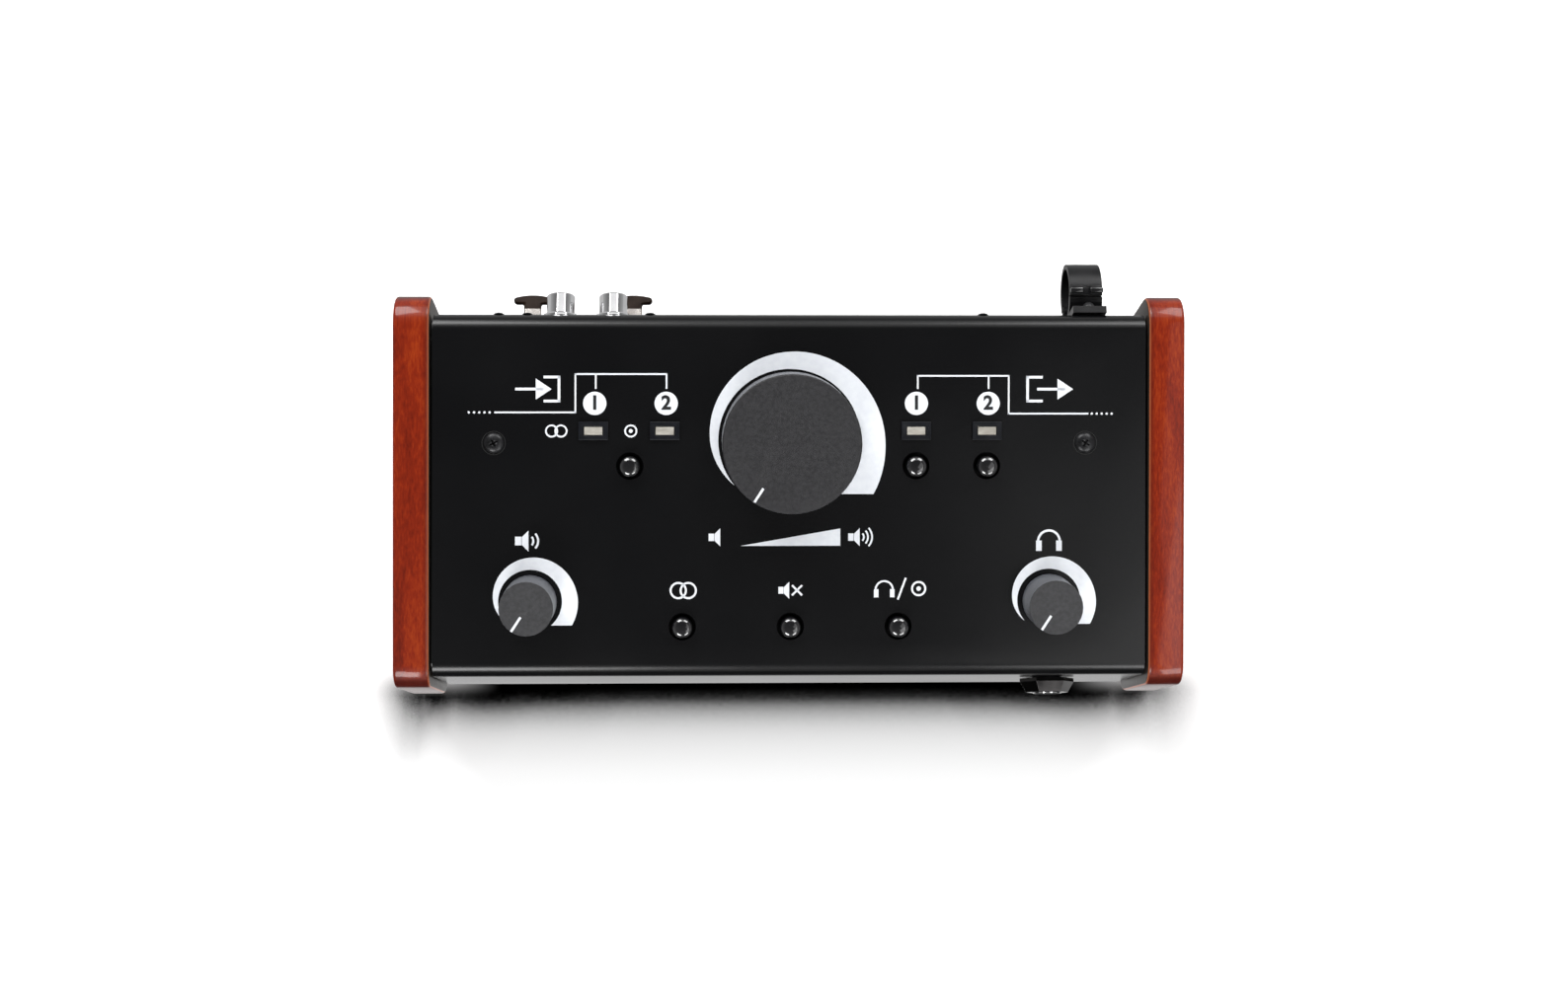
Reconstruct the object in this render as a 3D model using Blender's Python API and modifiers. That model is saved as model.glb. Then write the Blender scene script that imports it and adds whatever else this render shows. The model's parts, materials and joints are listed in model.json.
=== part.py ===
"""Studio monitor controller: a sloping folded-steel case carried between two lacquered wood cheeks.

The top panel slopes down to the front. It carries one large and two small knobs, six push buttons
and four indicator windows. The leaning front face has the headphone socket, and the rear face has
the audio sockets, the power inlet and a hinged cable clamp. Lengths are in metres and +Z is up.
X runs to the right, and the front of the controller faces -Y.
"""

import math

import bmesh
import bpy
from mathutils import Matrix, Vector

# Case
PANEL_SLOPE = math.radians(17.5)
FACE_LEAN = math.radians(4.0)
CASE_WIDTH = 0.2146
CASE_DEPTH = 0.1049
PANEL_HEIGHT = 0.0725  # top panel's outer surface above the desk, halfway along its depth
CASE_UNDERSIDE = 0.010
SHEET = 0.0015
BEND_RADIUS = 0.0045
SEAT_GAP = 0.0003  # between pieces that touch
TRAY_FLANGE = 0.009
SIDE_PLATE = 0.0015
CASE_SHOULDER = 0.0006  # side plate's outer face beyond the cover's edge
OVERRUN = 0.004  # how far a cutter runs past what it cuts

# Wood cheeks
CHEEK_THICKNESS = 0.0108
CHEEK_UNDERSIDE = 0.008
CHEEK_PROUD = 0.0015
CHEEK_FRONT_OVERHANG = 0.0032
CHEEK_REAR_OVERHANG = 0.0059
CHEEK_CORNER = 0.008
CHEEK_EDGE = 0.0009

# Feet
FOOT_RADIUS = 0.0075
FOOT_TAPER = 0.0012
FOOT_EDGE = 0.0008
FOOT_SIDE_INSET = 0.0223
FOOT_END_INSET = 0.0140

# Places on the panel: the upper rows from its rear edge, the lower rows from its front edge
LEVEL_KNOB_INSET = 0.0393
INDICATOR_INSET = 0.0364
UPPER_BUTTON_INSET = 0.0470
SMALL_KNOB_INSET = 0.0223
LOWER_BUTTON_INSET = 0.0146
SMALL_KNOB_SIDE_INSET = 0.0292
LOWER_BUTTON_SPREAD = 0.0325
SELECT_BUTTON_X = 0.0483
INNER_COLUMN_X = 0.0378
OUTER_COLUMN_X = 0.0592

# Knobs, shafts and potentiometers
LEVEL_KNOB_DIAMETER = 0.0415
SMALL_KNOB_DIAMETER = 0.0162
KNOB_HEIGHT = 0.0150
KNOB_LIFT = 0.0009
KNOB_WALL = 0.0017
KNOB_CROWN = 0.0030
KNOB_CHAMFER_SHARE = 0.008
KNOB_DRAFT = 0.0001
POINTER_WIDTH = 0.0008
POINTER_DEPTH = 0.0005
LEVEL_POINTER_LENGTH = 0.0051
SMALL_POINTER_LENGTH = 0.0050
POINTER_RIM_GAP_SHARE = 0.006
POINTER_START = math.radians(147.0)  # turned back from straight up the panel
SHAFT_RADIUS = 0.0030
SHAFT_CLEARANCE = 0.00008
KNOB_BOSS_WALL = 0.0017
SHAFT_DEPTH = 0.0070  # shaft's lower end under the panel
POT_BODY = 0.0140
POT_BODY_HEIGHT = 0.0082
BUSHING_RADIUS = 0.0045
BUSHING_RISE = 0.0034
HOLE_CLEARANCE = 0.0002

# Boards
BOARD = 0.0016
BOARD_DROP = 0.0120  # control board's upper face under the panel's outer surface
CONTROL_BOARD_SIDE_INSET = 0.0093
CONTROL_BOARD_FRONT_INSET = 0.0085
CONTROL_BOARD_REAR_INSET = 0.0284
JACK_BOARD_MARGIN = 0.0060  # beyond the outermost sockets that stand on it
JACK_BOARD_FOOT = 0.0145
JACK_BOARD_HEADROOM = 0.0034  # under the control board

# Buttons and switches
BUTTON_RADIUS = 0.0030
BUTTON_RISE = 0.0036
BUTTON_EDGE = 0.0007
BUTTON_TRAVEL = 0.0015
BUTTON_HOLE_RADIUS = 0.0041
BUTTON_BORE_RADIUS = 0.0015
SWITCH_BODY = 0.0085
SWITCH_BODY_HEIGHT = 0.0042
SWITCH_STEM_RISE = 0.0040

# Indicators
BEZEL_LENGTH = 0.0089
BEZEL_WIDTH = 0.0055
BEZEL_RISE = 0.0006
BEZEL_RIM = 0.0007
LENS_LENGTH = 0.0055
LENS_WIDTH = 0.0024
LENS_SINK = 0.0001

# Headphone socket on the front face
HEADPHONE_INSET = 0.0269  # from the front face's side edge
HEADPHONE_DROP = 0.0195
HEADPHONE_BODY = 0.0140
HEADPHONE_BODY_DEPTH = 0.0220
SOCKET_BORE_RADIUS = 0.0033
HEADPHONE_BORE_DEPTH = 0.0200
FERRULE_RADIUS = 0.0045
FERRULE_REACH = 0.0050
NUT_FLATS = 0.0146
NUT_THICKNESS = 0.0024
NUT_SKIRT = 0.0011
DRESS_NUT_THICKNESS = 0.0043
DRESS_NUT_FACE_FLATS = 0.0112
THREAD_CLEARANCE = 0.0002

# Sockets on the rear face
SOCKET_DEPTH = 0.0240
COMBO_INSET = 0.0280  # from the rear face's side edge
COMBO_PITCH = 0.0312
COMBO_HEIGHT = 0.0530
COMBO_FLANGE_WIDTH = 0.0260
COMBO_FLANGE_HEIGHT = 0.0310
COMBO_FLANGE = 0.0025
COMBO_CORNER = 0.0030
COMBO_BODY_RADIUS = 0.0118
COMBO_RIM_RADIUS = 0.0113
COMBO_RIM_RISE = 0.0012
COMBO_GROOVE_OUTER = 0.0097
COMBO_GROOVE_INNER = 0.0078
COMBO_GROOVE_DEPTH = 0.0110
COMBO_PIN_RADIUS = 0.0013
COMBO_PIN_CIRCLE = 0.0055
COMBO_BORE_DEPTH = 0.0220
LATCH_HEIGHT = 0.0136  # above the socket's centre
LATCH_CAP_WIDTH = 0.0117
LATCH_CAP_BOW = 0.0006
LATCH_CAP = 0.0022
LATCH_REACH = 0.0108
LATCH_NECK_WIDTH = 0.0053
LATCH_THICKNESS = 0.0022
LATCH_TRAVEL = 0.0020
LATCH_ROOT = 0.0060
LATCH_EDGE_SHARE = 0.2
PHONO_PITCH = 0.0160
PHONO_OFFSET = 0.0019  # pair's middle inwards from the combination sockets' middle
PHONO_RISE = 0.0090  # above the combination sockets' flanges
PHONO_RADIUS = 0.0043
PHONO_REACH = 0.0078
PHONO_BORE_RADIUS = 0.0017
PHONO_BORE_DEPTH = 0.0085
PHONO_INSULATOR_SINK = 0.0012
PHONO_INSULATOR_RADIUS = 0.0034
PHONO_NUT_RADIUS = 0.0058
PHONO_NUT = 0.0010
PHONO_BODY_DEPTH = 0.0090
OUTPUT_PITCH = 0.0200
OUTPUT_HEIGHT = 0.0400
OUTPUT_BODY = 0.0140
OUTPUT_BORE_DEPTH = 0.0215
INLET_INSET = 0.0193  # from the rear face's side edge
INLET_HEIGHT = 0.0270
INLET_RADIUS = 0.0055
INLET_NUT_RADIUS = 0.0070
INLET_REACH = 0.0026
INLET_BORE_RADIUS = 0.0031
INLET_BORE_DEPTH = 0.0100
INLET_PIN_RADIUS = 0.0010
INLET_BODY_DEPTH = 0.0140

# Cable clamp on the rear face
CLAMP_INSET = 0.0163  # from the rear face's side edge
CLAMP_HEIGHT = 0.0715
CLAMP_WIDTH = 0.0100
CLAMP_RADIUS = 0.0077
CLAMP_BAND = 0.0015
CLAMP_STANDOFF = 0.0012
CLAMP_FOOT_RISE = 0.0141
CLAMP_FOOT = 0.0021
CLAMP_FOOT_WIDTH = 0.0102
CLAMP_HINGE_RADIUS = 0.0016
CLAMP_CATCH_LENGTH = 0.0021
CLAMP_CATCH_RISE = 0.0013
CLAMP_CATCH_SLOT = 0.0022
CLAMP_HINGE_ANGLE = math.radians(-115.0)  # from straight out of the rear face, turning up
CLAMP_CATCH_ANGLE = math.radians(112.0)
CLAMP_FOOT_ANGLE = math.radians(150.0)

# How finely round shapes are divided
FINE = 56
ROUND = 32
COARSE = 20
BEND_STEPS = 5

MAT = {}


def clear_scene():
    for obj in list(bpy.data.objects):
        bpy.data.objects.remove(obj, do_unlink=True)


def material(name, colour, roughness, metallic=0.0):
    made = bpy.data.materials.new(name)
    made.use_nodes = True
    shader = made.node_tree.nodes["Principled BSDF"]
    shader.inputs["Base Color"].default_value = (*colour, 1.0)
    shader.inputs["Roughness"].default_value = roughness
    shader.inputs["Metallic"].default_value = metallic
    MAT[name] = made


def make_materials():
    material("lacquered_wood", (0.26, 0.022, 0.006), 0.22)
    material("black_steel", (0.014, 0.014, 0.016), 0.38)
    material("plain_steel", (0.45, 0.45, 0.46), 0.40, 1.0)
    material("knob_plastic", (0.052, 0.052, 0.056), 0.55)
    material("button_plastic", (0.006, 0.006, 0.007), 0.10)
    material("bezel_plastic", (0.010, 0.010, 0.011), 0.30)
    material("lens_plastic", (0.62, 0.52, 0.40), 0.28)
    material("socket_plastic", (0.012, 0.012, 0.012), 0.45)
    material("clamp_nylon", (0.015, 0.015, 0.016), 0.42)
    material("bright_chrome", (0.80, 0.80, 0.80), 0.12, 1.0)
    material("latch_metal", (0.10, 0.075, 0.06), 0.35, 1.0)
    material("foot_rubber", (0.012, 0.012, 0.012), 0.85)
    material("board_laminate", (0.02, 0.10, 0.04), 0.50)


def new_collection(name):
    made = bpy.data.collections.new(name)
    bpy.context.scene.collection.children.link(made)
    return made


def place(obj, parent, location=(0, 0, 0), rotation=(0, 0, 0)):
    obj.parent = parent
    obj.location = location
    obj.rotation_euler = rotation
    return obj


def frame_empty(name, location, rotation, parent=None):
    empty = bpy.data.objects.new(name, None)
    empty.empty_display_size = CASE_UNDERSIDE
    PARTS.objects.link(empty)
    return place(empty, parent, location, rotation)


def mesh_object(name, bm, mat, collection=None):
    mesh = bpy.data.meshes.new(name)
    bmesh.ops.recalc_face_normals(bm, faces=bm.faces)
    bm.to_mesh(mesh)
    bm.free()
    if mat:
        mesh.materials.append(MAT[mat])
    obj = bpy.data.objects.new(name, mesh)
    (collection or PARTS).objects.link(obj)
    return obj


def smooth(obj, angle=math.radians(35.0)):
    obj.data.shade_smooth()
    obj.data.set_sharp_from_angle(angle=angle)
    return obj


def as_cutter(obj):
    obj.hide_render = True
    obj.display_type = "WIRE"
    return obj


def boolean(obj, other, operation="DIFFERENCE", crossing=False):
    """Joins or cuts. Crossing says that the other object's own shapes cross each other."""
    step = obj.modifiers.new(operation.lower(), "BOOLEAN")
    step.operation = operation
    step.solver = "EXACT"
    step.use_self = crossing
    step.object = other
    return obj


def bevel(obj, width, segments=2, angle=math.radians(40.0)):
    step = obj.modifiers.new("edges", "BEVEL")
    step.width = width
    step.segments = segments
    step.limit_method = "ANGLE"
    step.angle_limit = angle
    return obj


def add_cylinder(bm, radius, low, high, x=0.0, y=0.0, segments=COARSE, top_radius=None):
    """A cylinder or cone along Z between two heights."""
    bmesh.ops.create_cone(
        bm,
        cap_ends=True,
        segments=segments,
        radius1=radius,
        radius2=radius if top_radius is None else top_radius,
        depth=high - low,
        matrix=Matrix.Translation((x, y, (low + high) / 2)),
    )


def add_box(bm, low, high):
    low, high = Vector(low), Vector(high)
    size = high - low
    matrix = Matrix.Translation((low + high) / 2) @ Matrix.Diagonal((*size, 1.0))
    bmesh.ops.create_cube(bm, size=1.0, matrix=matrix)


def box_object(name, low, high, mat, parent, edge=0.0, collection=None):
    bm = bmesh.new()
    add_box(bm, low, high)
    obj = place(mesh_object(name, bm, mat, collection), parent)
    if edge:
        bevel(obj, edge)
    return obj


def turned(name, profile, mat, parent, location=(0, 0, 0), rotation=(0, 0, 0), steps=ROUND,
           closed=False, collection=None):
    """A solid of revolution about local Z. The profile runs down the outer side as (radius, height)."""
    bm = bmesh.new()
    corners = [bm.verts.new((radius, 0.0, height)) for radius, height in profile]
    for start, end in zip(corners, corners[1:]):
        bm.edges.new((start, end))
    if closed:
        bm.edges.new((corners[-1], corners[0]))
    mesh = bpy.data.meshes.new(name)
    bm.to_mesh(mesh)
    bm.free()
    if mat:
        mesh.materials.append(MAT[mat])
    obj = bpy.data.objects.new(name, mesh)
    (collection or PARTS).objects.link(obj)
    step = obj.modifiers.new("turn", "SCREW")
    step.axis = "Z"
    step.angle = 2 * math.pi
    step.steps = step.render_steps = steps
    step.use_merge_vertices = True
    step.merge_threshold = 1e-6
    step.use_smooth_shade = True
    return place(obj, parent, location, rotation)


def arc(centre, radius, start, end, steps):
    """Points on a circle's arc, both ends included."""
    turns = [start + (end - start) * i / steps for i in range(steps + 1)]
    return [Vector((centre[0] + radius * math.cos(a), centre[1] + radius * math.sin(a))) for a in turns]


def rounded(corners, radius, closed=True, steps=BEND_STEPS):
    """The outline through these corners, each inner corner replaced by an arc of this radius."""
    corners = [Vector(c) for c in corners]
    count = len(corners)
    outline = []
    for i, corner in enumerate(corners):
        if not closed and i in (0, count - 1):
            outline.append(corner)
            continue
        before = (corners[i - 1] - corner).normalized()
        after = (corners[(i + 1) % count] - corner).normalized()
        half = before.angle(after) / 2
        centre = corner + (before + after).normalized() * (radius / math.sin(half))
        start = corner + before * (radius / math.tan(half)) - centre
        end = corner + after * (radius / math.tan(half)) - centre
        first = math.atan2(start.y, start.x)
        sweep = (math.atan2(end.y, end.x) - first + math.pi) % (2 * math.pi) - math.pi
        outline += arc(centre, radius, first, first + sweep, steps)
    return outline


def inset(corners, distance):
    """A convex anticlockwise outline moved inwards by this distance."""
    corners = [Vector(c) for c in corners]
    count = len(corners)
    moved = []
    for i, corner in enumerate(corners):
        before = (corner - corners[i - 1]).normalized()
        after = (corners[(i + 1) % count] - corner).normalized()
        normal_before = Vector((-before.y, before.x))
        normal_after = Vector((-after.y, after.x))
        along = (normal_before + normal_after).normalized()
        moved.append(corner + along * (distance / along.dot(normal_after)))
    return moved


def plate(name, outline, thickness, mat, parent, location=(0, 0, 0), rotation=(0, 0, 0), edge=0.0,
          edge_segments=2, collection=None):
    """A flat outline, drawn as a filled curve, given its thickness and made a mesh."""
    drawn = bpy.data.curves.new(name, "CURVE")
    drawn.dimensions = "2D"
    drawn.fill_mode = "BOTH"
    drawn.extrude = thickness / 2
    line = drawn.splines.new("POLY")
    line.points.add(len(outline) - 1)
    for point, (x, y) in zip(line.points, outline):
        point.co = (x, y, 0.0, 1.0)
    line.use_cyclic_u = True
    guide = bpy.data.objects.new(name + "_outline", drawn)
    (collection or PARTS).objects.link(guide)
    bpy.context.view_layer.update()
    graph = bpy.context.evaluated_depsgraph_get()
    mesh = bpy.data.meshes.new_from_object(guide.evaluated_get(graph))
    bpy.data.objects.remove(guide, do_unlink=True)
    bm = bmesh.new()
    bm.from_mesh(mesh)
    bpy.data.meshes.remove(mesh)
    bmesh.ops.remove_doubles(bm, verts=bm.verts, dist=1e-6)
    flat = math.radians(0.5)
    bmesh.ops.dissolve_limit(bm, angle_limit=flat, verts=bm.verts, edges=bm.edges)
    obj = place(mesh_object(name, bm, mat, collection), parent, location, rotation)
    if edge:
        bevel(obj, edge, edge_segments)
    return obj


def folded_sheet(name, line, width, thickness, inward, mat, parent, rotation):
    """A sheet folded along an open line in its local XY plane, as wide as given along Z."""
    bm = bmesh.new()
    near = [bm.verts.new((p.x, p.y, -width / 2)) for p in line]
    far = [bm.verts.new((p.x, p.y, width / 2)) for p in line]
    for i in range(len(line) - 1):
        bm.faces.new((near[i], near[i + 1], far[i + 1], far[i]))
    mesh = bpy.data.meshes.new(name)
    bm.to_mesh(mesh)
    bm.free()
    mesh.materials.append(MAT[mat])
    obj = bpy.data.objects.new(name, mesh)
    PARTS.objects.link(obj)
    step = obj.modifiers.new("sheet", "SOLIDIFY")
    step.thickness = thickness
    step.offset = inward
    step.use_even_offset = True
    return place(obj, parent, (0, 0, 0), rotation)


def case_corners():
    """Outer corners of the case seen from its right side, anticlockwise from the lower front."""
    half = CASE_DEPTH / 2
    rise = half * math.tan(PANEL_SLOPE)
    front_top = PANEL_HEIGHT - rise
    undercut = (front_top - CASE_UNDERSIDE) * math.tan(FACE_LEAN)
    return [
        Vector((-half + undercut, CASE_UNDERSIDE)),
        Vector((half, CASE_UNDERSIDE)),
        Vector((half, PANEL_HEIGHT + rise)),
        Vector((-half, front_top)),
    ]


def ferrule_lip():
    return (FERRULE_RADIUS - SOCKET_BORE_RADIUS) / 3


def front_reach():
    """How far the headphone socket's ferrule stands ahead of the case's front corner."""
    below = HEADPHONE_DROP - FERRULE_RADIUS + ferrule_lip()
    return FERRULE_REACH * math.cos(FACE_LEAN) - below * math.sin(FACE_LEAN)


def rear_reach():
    return CLAMP_STANDOFF + 2 * (CLAMP_RADIUS + CLAMP_BAND)


def make_cover(parent):
    lower_front, lower_rear, upper_rear, upper_front = case_corners()
    line = rounded([lower_front, upper_front, upper_rear, lower_rear], BEND_RADIUS, closed=False)
    cover = folded_sheet("top_cover", line, CASE_WIDTH, SHEET, 1.0, "black_steel", parent, SIDEWAYS)
    boolean(cover, panel_holes())
    boolean(cover, front_holes())
    boolean(cover, rear_holes(), crossing=True)
    return cover


def panel_holes():
    """Holes for bushings, buttons and bezels, in the panel's own frame."""
    low, high = -SHEET - OVERRUN, OVERRUN
    bm = bmesh.new()
    for x, y in KNOB_PLACES.values():
        add_cylinder(bm, BUSHING_RADIUS + HOLE_CLEARANCE, low, high, x, y, COARSE)
    for x, y in BUTTON_PLACES.values():
        add_cylinder(bm, BUTTON_HOLE_RADIUS, low, high, x, y, ROUND)
    long_half, wide_half = bezel_hole_half()
    for x, y in INDICATOR_PLACES.values():
        add_box(bm, (x - long_half, y - wide_half, low), (x + long_half, y + wide_half, high))
    return as_cutter(place(mesh_object("panel_holes", bm, None, CUTTERS), PANEL))


def front_holes():
    bm = bmesh.new()
    radius = FERRULE_RADIUS + HOLE_CLEARANCE
    add_cylinder(bm, radius, -SHEET - OVERRUN, OVERRUN, HEADPHONE_X, -HEADPHONE_DROP, COARSE)
    return as_cutter(place(mesh_object("front_holes", bm, None, CUTTERS), FRONT))


def rear_holes():
    low, high = -SHEET - OVERRUN, OVERRUN
    bm = bmesh.new()
    for x in COMBO_X:
        add_cylinder(bm, COMBO_BODY_RADIUS + SEAT_GAP, low, high, -x, COMBO_HEIGHT, ROUND)
        latch_y = COMBO_HEIGHT + LATCH_HEIGHT
        half = LATCH_NECK_WIDTH / 2 + 2 * SEAT_GAP
        tall = LATCH_THICKNESS / 2 + 2 * SEAT_GAP
        add_box(bm, (-x - half, COMBO_HEIGHT, low), (-x + half, latch_y + tall, high))
    for x in PHONO_X:
        add_cylinder(bm, PHONO_RADIUS + SEAT_GAP, low, high, -x, PHONO_HEIGHT, COARSE)
    for x in OUTPUT_X:
        add_cylinder(bm, FERRULE_RADIUS + HOLE_CLEARANCE, low, high, -x, OUTPUT_HEIGHT, COARSE)
    add_cylinder(bm, INLET_RADIUS + HOLE_CLEARANCE, low, high, -INLET_X, INLET_HEIGHT, COARSE)
    return as_cutter(place(mesh_object("rear_holes", bm, None, CUTTERS), REAR))


def make_tray(parent):
    """Floor of the case, with a flange behind the front face and one inside the rear face."""
    corners = case_corners()
    inner = inset(corners, SHEET + SEAT_GAP)
    lower_front, lower_rear, upper_rear, upper_front = inner
    up_front = (upper_front - lower_front).normalized()
    floor_rise = Vector((0, SHEET + SEAT_GAP))
    front_corner = lower_front - up_front * (SHEET + SEAT_GAP) / up_front.y
    rear_corner = lower_rear - floor_rise
    line = rounded(
        [
            front_corner + up_front * TRAY_FLANGE,
            front_corner,
            rear_corner,
            rear_corner + Vector((0, TRAY_FLANGE)),
        ],
        BEND_RADIUS / 2,
        closed=False,
        steps=3,
    )
    width = CASE_WIDTH + 2 * (CASE_SHOULDER - SIDE_PLATE - SEAT_GAP)
    return folded_sheet("base_tray", line, width, SHEET, -1.0, "black_steel", parent, SIDEWAYS)


def make_side_plates(parent):
    outline = inset(case_corners(), SHEET + SEAT_GAP)
    floor = CASE_UNDERSIDE
    low_front, low_rear, high_rear, high_front = outline
    down = (low_front - high_front).normalized()
    low_front = low_front + down * (low_front.y - floor) / -down.y
    low_rear = Vector((low_rear.x, floor))
    outline = [low_front, low_rear, high_rear, high_front]
    middle = CASE_WIDTH / 2 + CASE_SHOULDER - SIDE_PLATE / 2
    radius = BEND_RADIUS - SHEET
    for name, side in (("side_plate_left", -1), ("side_plate_right", 1)):
        plate(name, rounded(outline, radius, steps=2), SIDE_PLATE, "black_steel", parent,
              (side * middle, 0, 0), SIDEWAYS)


def make_cheeks(parent):
    """Two boards that follow the case's side, a little larger all round, with rounded corners."""
    half = CASE_DEPTH / 2
    front = -half - CHEEK_FRONT_OVERHANG
    rear = half + CHEEK_REAR_OVERHANG
    lift = CHEEK_PROUD / math.cos(PANEL_SLOPE)
    front_top = PANEL_HEIGHT + lift + front * math.tan(PANEL_SLOPE)
    rear_top = PANEL_HEIGHT + lift + rear * math.tan(PANEL_SLOPE)
    undercut = (front_top - CHEEK_UNDERSIDE) * math.tan(FACE_LEAN)
    outline = [
        (front + undercut, CHEEK_UNDERSIDE),
        (rear, CHEEK_UNDERSIDE),
        (rear, rear_top),
        (front, front_top),
    ]
    inner = CASE_WIDTH / 2 + CASE_SHOULDER + SEAT_GAP
    for name, side in (("wood_cheek_left", -1), ("wood_cheek_right", 1)):
        cheek = plate(name, rounded(outline, CHEEK_CORNER, steps=6), CHEEK_THICKNESS, "lacquered_wood",
                      parent, (side * (inner + CHEEK_THICKNESS / 2), 0, 0), SIDEWAYS, CHEEK_EDGE, 3)
        smooth(cheek)


def make_feet(parent):
    height = CASE_UNDERSIDE - SEAT_GAP
    profile = [
        (0, height),
        (FOOT_RADIUS, height),
        (FOOT_RADIUS - FOOT_TAPER, FOOT_EDGE),
        (FOOT_RADIUS - FOOT_TAPER - FOOT_EDGE, 0),
        (0, 0),
    ]
    across = CASE_WIDTH / 2 - FOOT_SIDE_INSET
    along = CASE_DEPTH / 2 - FOOT_END_INSET
    for row, y in (("front", -along), ("rear", along)):
        for side, x in (("left", -across), ("right", across)):
            turned(f"foot_{row}_{side}", profile, "foot_rubber", parent, (x, y, 0), steps=COARSE)


def make_boards(parent):
    half = CASE_WIDTH / 2 - CONTROL_BOARD_SIDE_INSET
    box_object("control_board", (-half, CONTROL_BOARD_FRONT_INSET - PANEL_EDGE, -BOARD_DROP - BOARD),
               (half, PANEL_EDGE - CONTROL_BOARD_REAR_INSET, -BOARD_DROP), "board_laminate", PANEL)
    near = -SHEET - SOCKET_DEPTH - SEAT_GAP
    first = COMBO_X[0] - COMBO_BODY_RADIUS - JACK_BOARD_MARGIN
    last = OUTPUT_X[-1] + OUTPUT_BODY / 2 + JACK_BOARD_MARGIN
    far = CASE_DEPTH / 2 + near - BOARD
    underside = PANEL_HEIGHT - (BOARD_DROP + BOARD) / math.cos(PANEL_SLOPE) + far * math.tan(PANEL_SLOPE)
    box_object("jack_board", (-last, JACK_BOARD_FOOT, near - BOARD),
               (-first, underside - JACK_BOARD_HEADROOM, near), "board_laminate", REAR)


def make_potentiometer(name, x, y):
    """Square body on the control board, threaded bushing through the panel, bore for the shaft."""
    floor = -BOARD_DROP + SEAT_GAP
    top = floor + POT_BODY_HEIGHT
    half = POT_BODY / 2
    body = box_object(f"potentiometer_{name}", (-half, -half, floor), (half, half, top),
                      "plain_steel", PANEL)
    body.location = (x, y, 0)
    bushing = [(0, BUSHING_RISE), (BUSHING_RADIUS, BUSHING_RISE), (BUSHING_RADIUS, top - OVERRUN / 2),
               (0, top - OVERRUN / 2)]
    boolean(body, as_cutter(turned(f"bushing_{name}", bushing, None, PANEL, (x, y, 0), steps=COARSE,
                                   collection=CUTTERS)), "UNION")
    radius = SHAFT_RADIUS + SHAFT_CLEARANCE
    bore = [(0, BUSHING_RISE + OVERRUN), (radius, BUSHING_RISE + OVERRUN), (radius, -SHAFT_DEPTH - SEAT_GAP),
            (0, -SHAFT_DEPTH - SEAT_GAP)]
    boolean(body, as_cutter(turned(f"shaft_bore_{name}", bore, None, PANEL, (x, y, 0), steps=COARSE,
                                   collection=CUTTERS)))


def make_knob(name, x, y, diameter, pointer_length):
    """A cupped knob on its shaft, both turning about the panel's normal."""
    axis = frame_empty(f"axis_{name}", (x, y, 0), (0, 0, 0), PANEL)
    radius = diameter / 2
    chamfer = diameter * KNOB_CHAMFER_SHARE
    face = radius - KNOB_DRAFT - chamfer
    top = KNOB_HEIGHT
    ceiling = top - KNOB_CROWN
    boss = SHAFT_RADIUS + SEAT_GAP + KNOB_BOSS_WALL
    boss_foot = BUSHING_RISE + SEAT_GAP
    bore = SHAFT_RADIUS + SHAFT_CLEARANCE
    steps = FINE if radius > 2 * boss else ROUND
    cup = radius - KNOB_WALL
    roomy = cup > boss + KNOB_WALL
    hollow = [(cup, KNOB_LIFT), (cup, ceiling), (boss, ceiling), (boss, boss_foot)] if roomy else [
        (BUSHING_RADIUS + 2 * SEAT_GAP, KNOB_LIFT), (BUSHING_RADIUS + 2 * SEAT_GAP, boss_foot)]
    profile = [
        (0, top),
        (face, top),
        (radius - KNOB_DRAFT, top - chamfer),
        (radius, KNOB_LIFT),
        *hollow,
        (bore, boss_foot),
        (bore, ceiling),
        (0, ceiling),
    ]
    knob = turned(f"knob_{name}", profile, "knob_plastic", axis, steps=steps)
    outer = face - diameter * POINTER_RIM_GAP_SHARE
    slot = box_object(f"pointer_slot_{name}",
                      (-POINTER_WIDTH / 2, outer - pointer_length, top - POINTER_DEPTH),
                      (POINTER_WIDTH / 2, outer, top + OVERRUN), None, axis, collection=CUTTERS)
    slot.rotation_euler = (0, 0, POINTER_START)
    boolean(knob, as_cutter(slot))
    shaft_top = ceiling - SEAT_GAP
    shaft = [(0, shaft_top), (SHAFT_RADIUS, shaft_top), (SHAFT_RADIUS, -SHAFT_DEPTH), (0, -SHAFT_DEPTH)]
    turned(f"shaft_{name}", shaft, "plain_steel", axis, steps=COARSE)


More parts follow.
